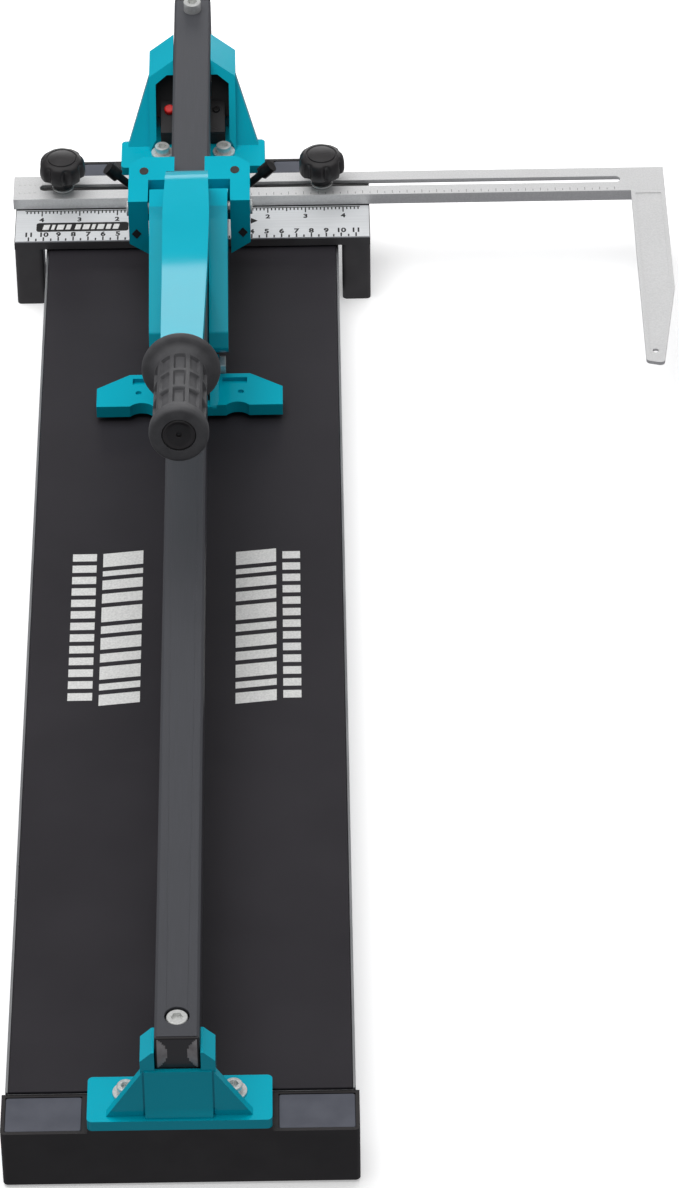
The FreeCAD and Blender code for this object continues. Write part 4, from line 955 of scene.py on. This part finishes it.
for cap in ("front_cap", "rear_cap"):
    low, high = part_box(cap)
    recess_floor = high.z - PANEL_RECESS_DEPTH
    outer = high.x - PANEL_MARGIN
    for name, sign in (("left", -1), ("right", 1)):
        left, right = sorted((sign * outer, sign * (outer - PANEL_LENGTH)))
        plate = cushion_plate(
            cap + "_panel_painted_reflection_" + name,
            Vector((left, low.y + PANEL_MARGIN, recess_floor)),
            Vector((right, high.y - PANEL_MARGIN, recess_floor + PANEL_PLATE_THICKNESS)))
        # The plate carries the paler grey that paints the panel's reflection.
        plate.data.materials.append(cap_panel_painted_reflection)
        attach(plate, "base")
print("painted-reflection panels are", round(PANEL_LENGTH / MM, 1), "mm long")

# %% [markdown]
# ## Floor and light
# Gloss paint only looks glossy when it has something to reflect: the studio is bright overhead,
# falls off to a dim horizon, and has a grey screen standing behind the object, which draws a paler
# line along every edge that rolls away to the rear. A large soft box above lights the upper faces
# and is hidden from reflections, so that flat metal isn't burnt out. A low one behind adds a rim.

# %% Floor
FLOOR_HALF = 6
FLOOR_GLOW = 0.35
form = bmesh.new()
bmesh.ops.create_grid(form, x_segments=1, y_segments=1, size=FLOOR_HALF)
floor = placed("floor", form)
floor_paint, _, floor_shader = finish("Pale studio floor", "#FAFAFA", 0.9, specular=0.1)
floor_shader.inputs["Emission Color"].default_value = linear("#FFFFFF")
floor_shader.inputs["Emission Strength"].default_value = FLOOR_GLOW
floor.data.materials.append(floor_paint)
floor.visible_diffuse = False
floor.visible_glossy = False
print("floor laid,", 2 * FLOOR_HALF, "m wide")

# %% Sky gradient
SKY_STOPS = ((0.0, "#96969A"), (0.3, "#8A8A8C"), (0.66, "#7C7C7E"), (0.86, "#FFFFFF"))
SKY_STRENGTH = 0.9
SCREEN_GREY = "#A0A0A0"
SCREEN_START = 0.86
SCREEN_FULL = 0.97

world = bpy.data.worlds.new("studio")
bpy.context.scene.world = world
world.use_nodes = True
sky = world.node_tree
way = add(sky, "ShaderNodeTexCoord").outputs["Generated"]
height = add(sky, "ShaderNodeSeparateXYZ", {"Vector": way}).outputs["Z"]
ramp = add(sky, "ShaderNodeValToRGB", {"Fac": height})
stops = ramp.color_ramp.elements
for place, _ in SKY_STOPS[1:-1]:
    stops.new(place)
for stop, (place, tone) in zip(stops, SKY_STOPS):
    stop.position = place
    stop.color = linear(tone)
rearward = add(sky, "ShaderNodeSeparateXYZ", {"Vector": way}).outputs["Y"]
glow = add(sky, "ShaderNodeMapRange", {"Value": rearward, "From Min": SCREEN_START,
                                        "From Max": SCREEN_FULL})
screen = add(sky, "ShaderNodeMix", {"Factor": glow.outputs[0], 6: ramp.outputs[0]}, data_type="RGBA")
screen.inputs[7].default_value = linear(SCREEN_GREY)
sky.links.new(screen.outputs[2], sky.nodes["Background"].inputs["Color"])
sky.nodes["Background"].inputs["Strength"].default_value = SKY_STRENGTH
print("sky of", len(stops), "tones")

# %% Soft boxes


def softbox(name, place, target, size, power, mirrored=True):
    lamp = bpy.data.lights.new(name, "AREA")
    lamp.shape = "RECTANGLE"
    lamp.size, lamp.size_y = size
    lamp.energy = power
    holder = bpy.data.objects.new(name, lamp)
    holder.visible_glossy = mirrored
    holder.location = place
    holder.rotation_euler = (Vector(target) - Vector(place)).to_track_quat("-Z", "Y").to_euler()
    bpy.context.scene.collection.objects.link(holder)


softbox("top_light", (-0.5, 0.5, 2.6), (0, 0, 0), (2.2, 2.2), 48, mirrored=False)
softbox("rear_light", (0.2, 2.9, 0.75), (0, 0.1, 0.1), (2.2, 0.7), 10)
print("two soft boxes hung")

# %% [markdown]
# ## The camera
# A long lens from well in front and above keeps the deck's sides nearly parallel. The camera is
# turned by three angles, and a small sideways shift of the lens centres the cutter in the frame.

# %% Camera
SENSOR = 36.0
LENS = 282.89
LENS_SHIFT = 0.078395
CAMERA_PLACE = Vector((83.0, -2533.5, 2174.2)) * MM
yaw, pitch, roll = (math.radians(angle) for angle in (0.493, 40.096, 1.197))
forward = Vector((-math.sin(yaw) * math.cos(pitch), math.cos(yaw) * math.cos(pitch), -math.sin(pitch)))
level = Vector((math.cos(yaw), math.sin(yaw), 0))
down = forward.cross(level)
right = level * math.cos(roll) + down * math.sin(roll)
up = -(down * math.cos(roll) - level * math.sin(roll))
lens = bpy.data.cameras.new("camera")
lens.sensor_fit = "HORIZONTAL"
lens.sensor_width = SENSOR
lens.lens = LENS
lens.shift_x = LENS_SHIFT
lens.clip_end = 50
camera = bpy.data.objects.new("camera", lens)
camera.matrix_world = Matrix((
    (right.x, up.x, -forward.x, CAMERA_PLACE.x),
    (right.y, up.y, -forward.y, CAMERA_PLACE.y),
    (right.z, up.z, -forward.z, CAMERA_PLACE.z),
    (0, 0, 0, 1)))
bpy.context.scene.collection.objects.link(camera)
bpy.context.scene.camera = camera
bpy.context.scene.view_settings.view_transform = "Standard"
print("camera", round(CAMERA_PLACE.length, 2), "m from the middle of the deck")
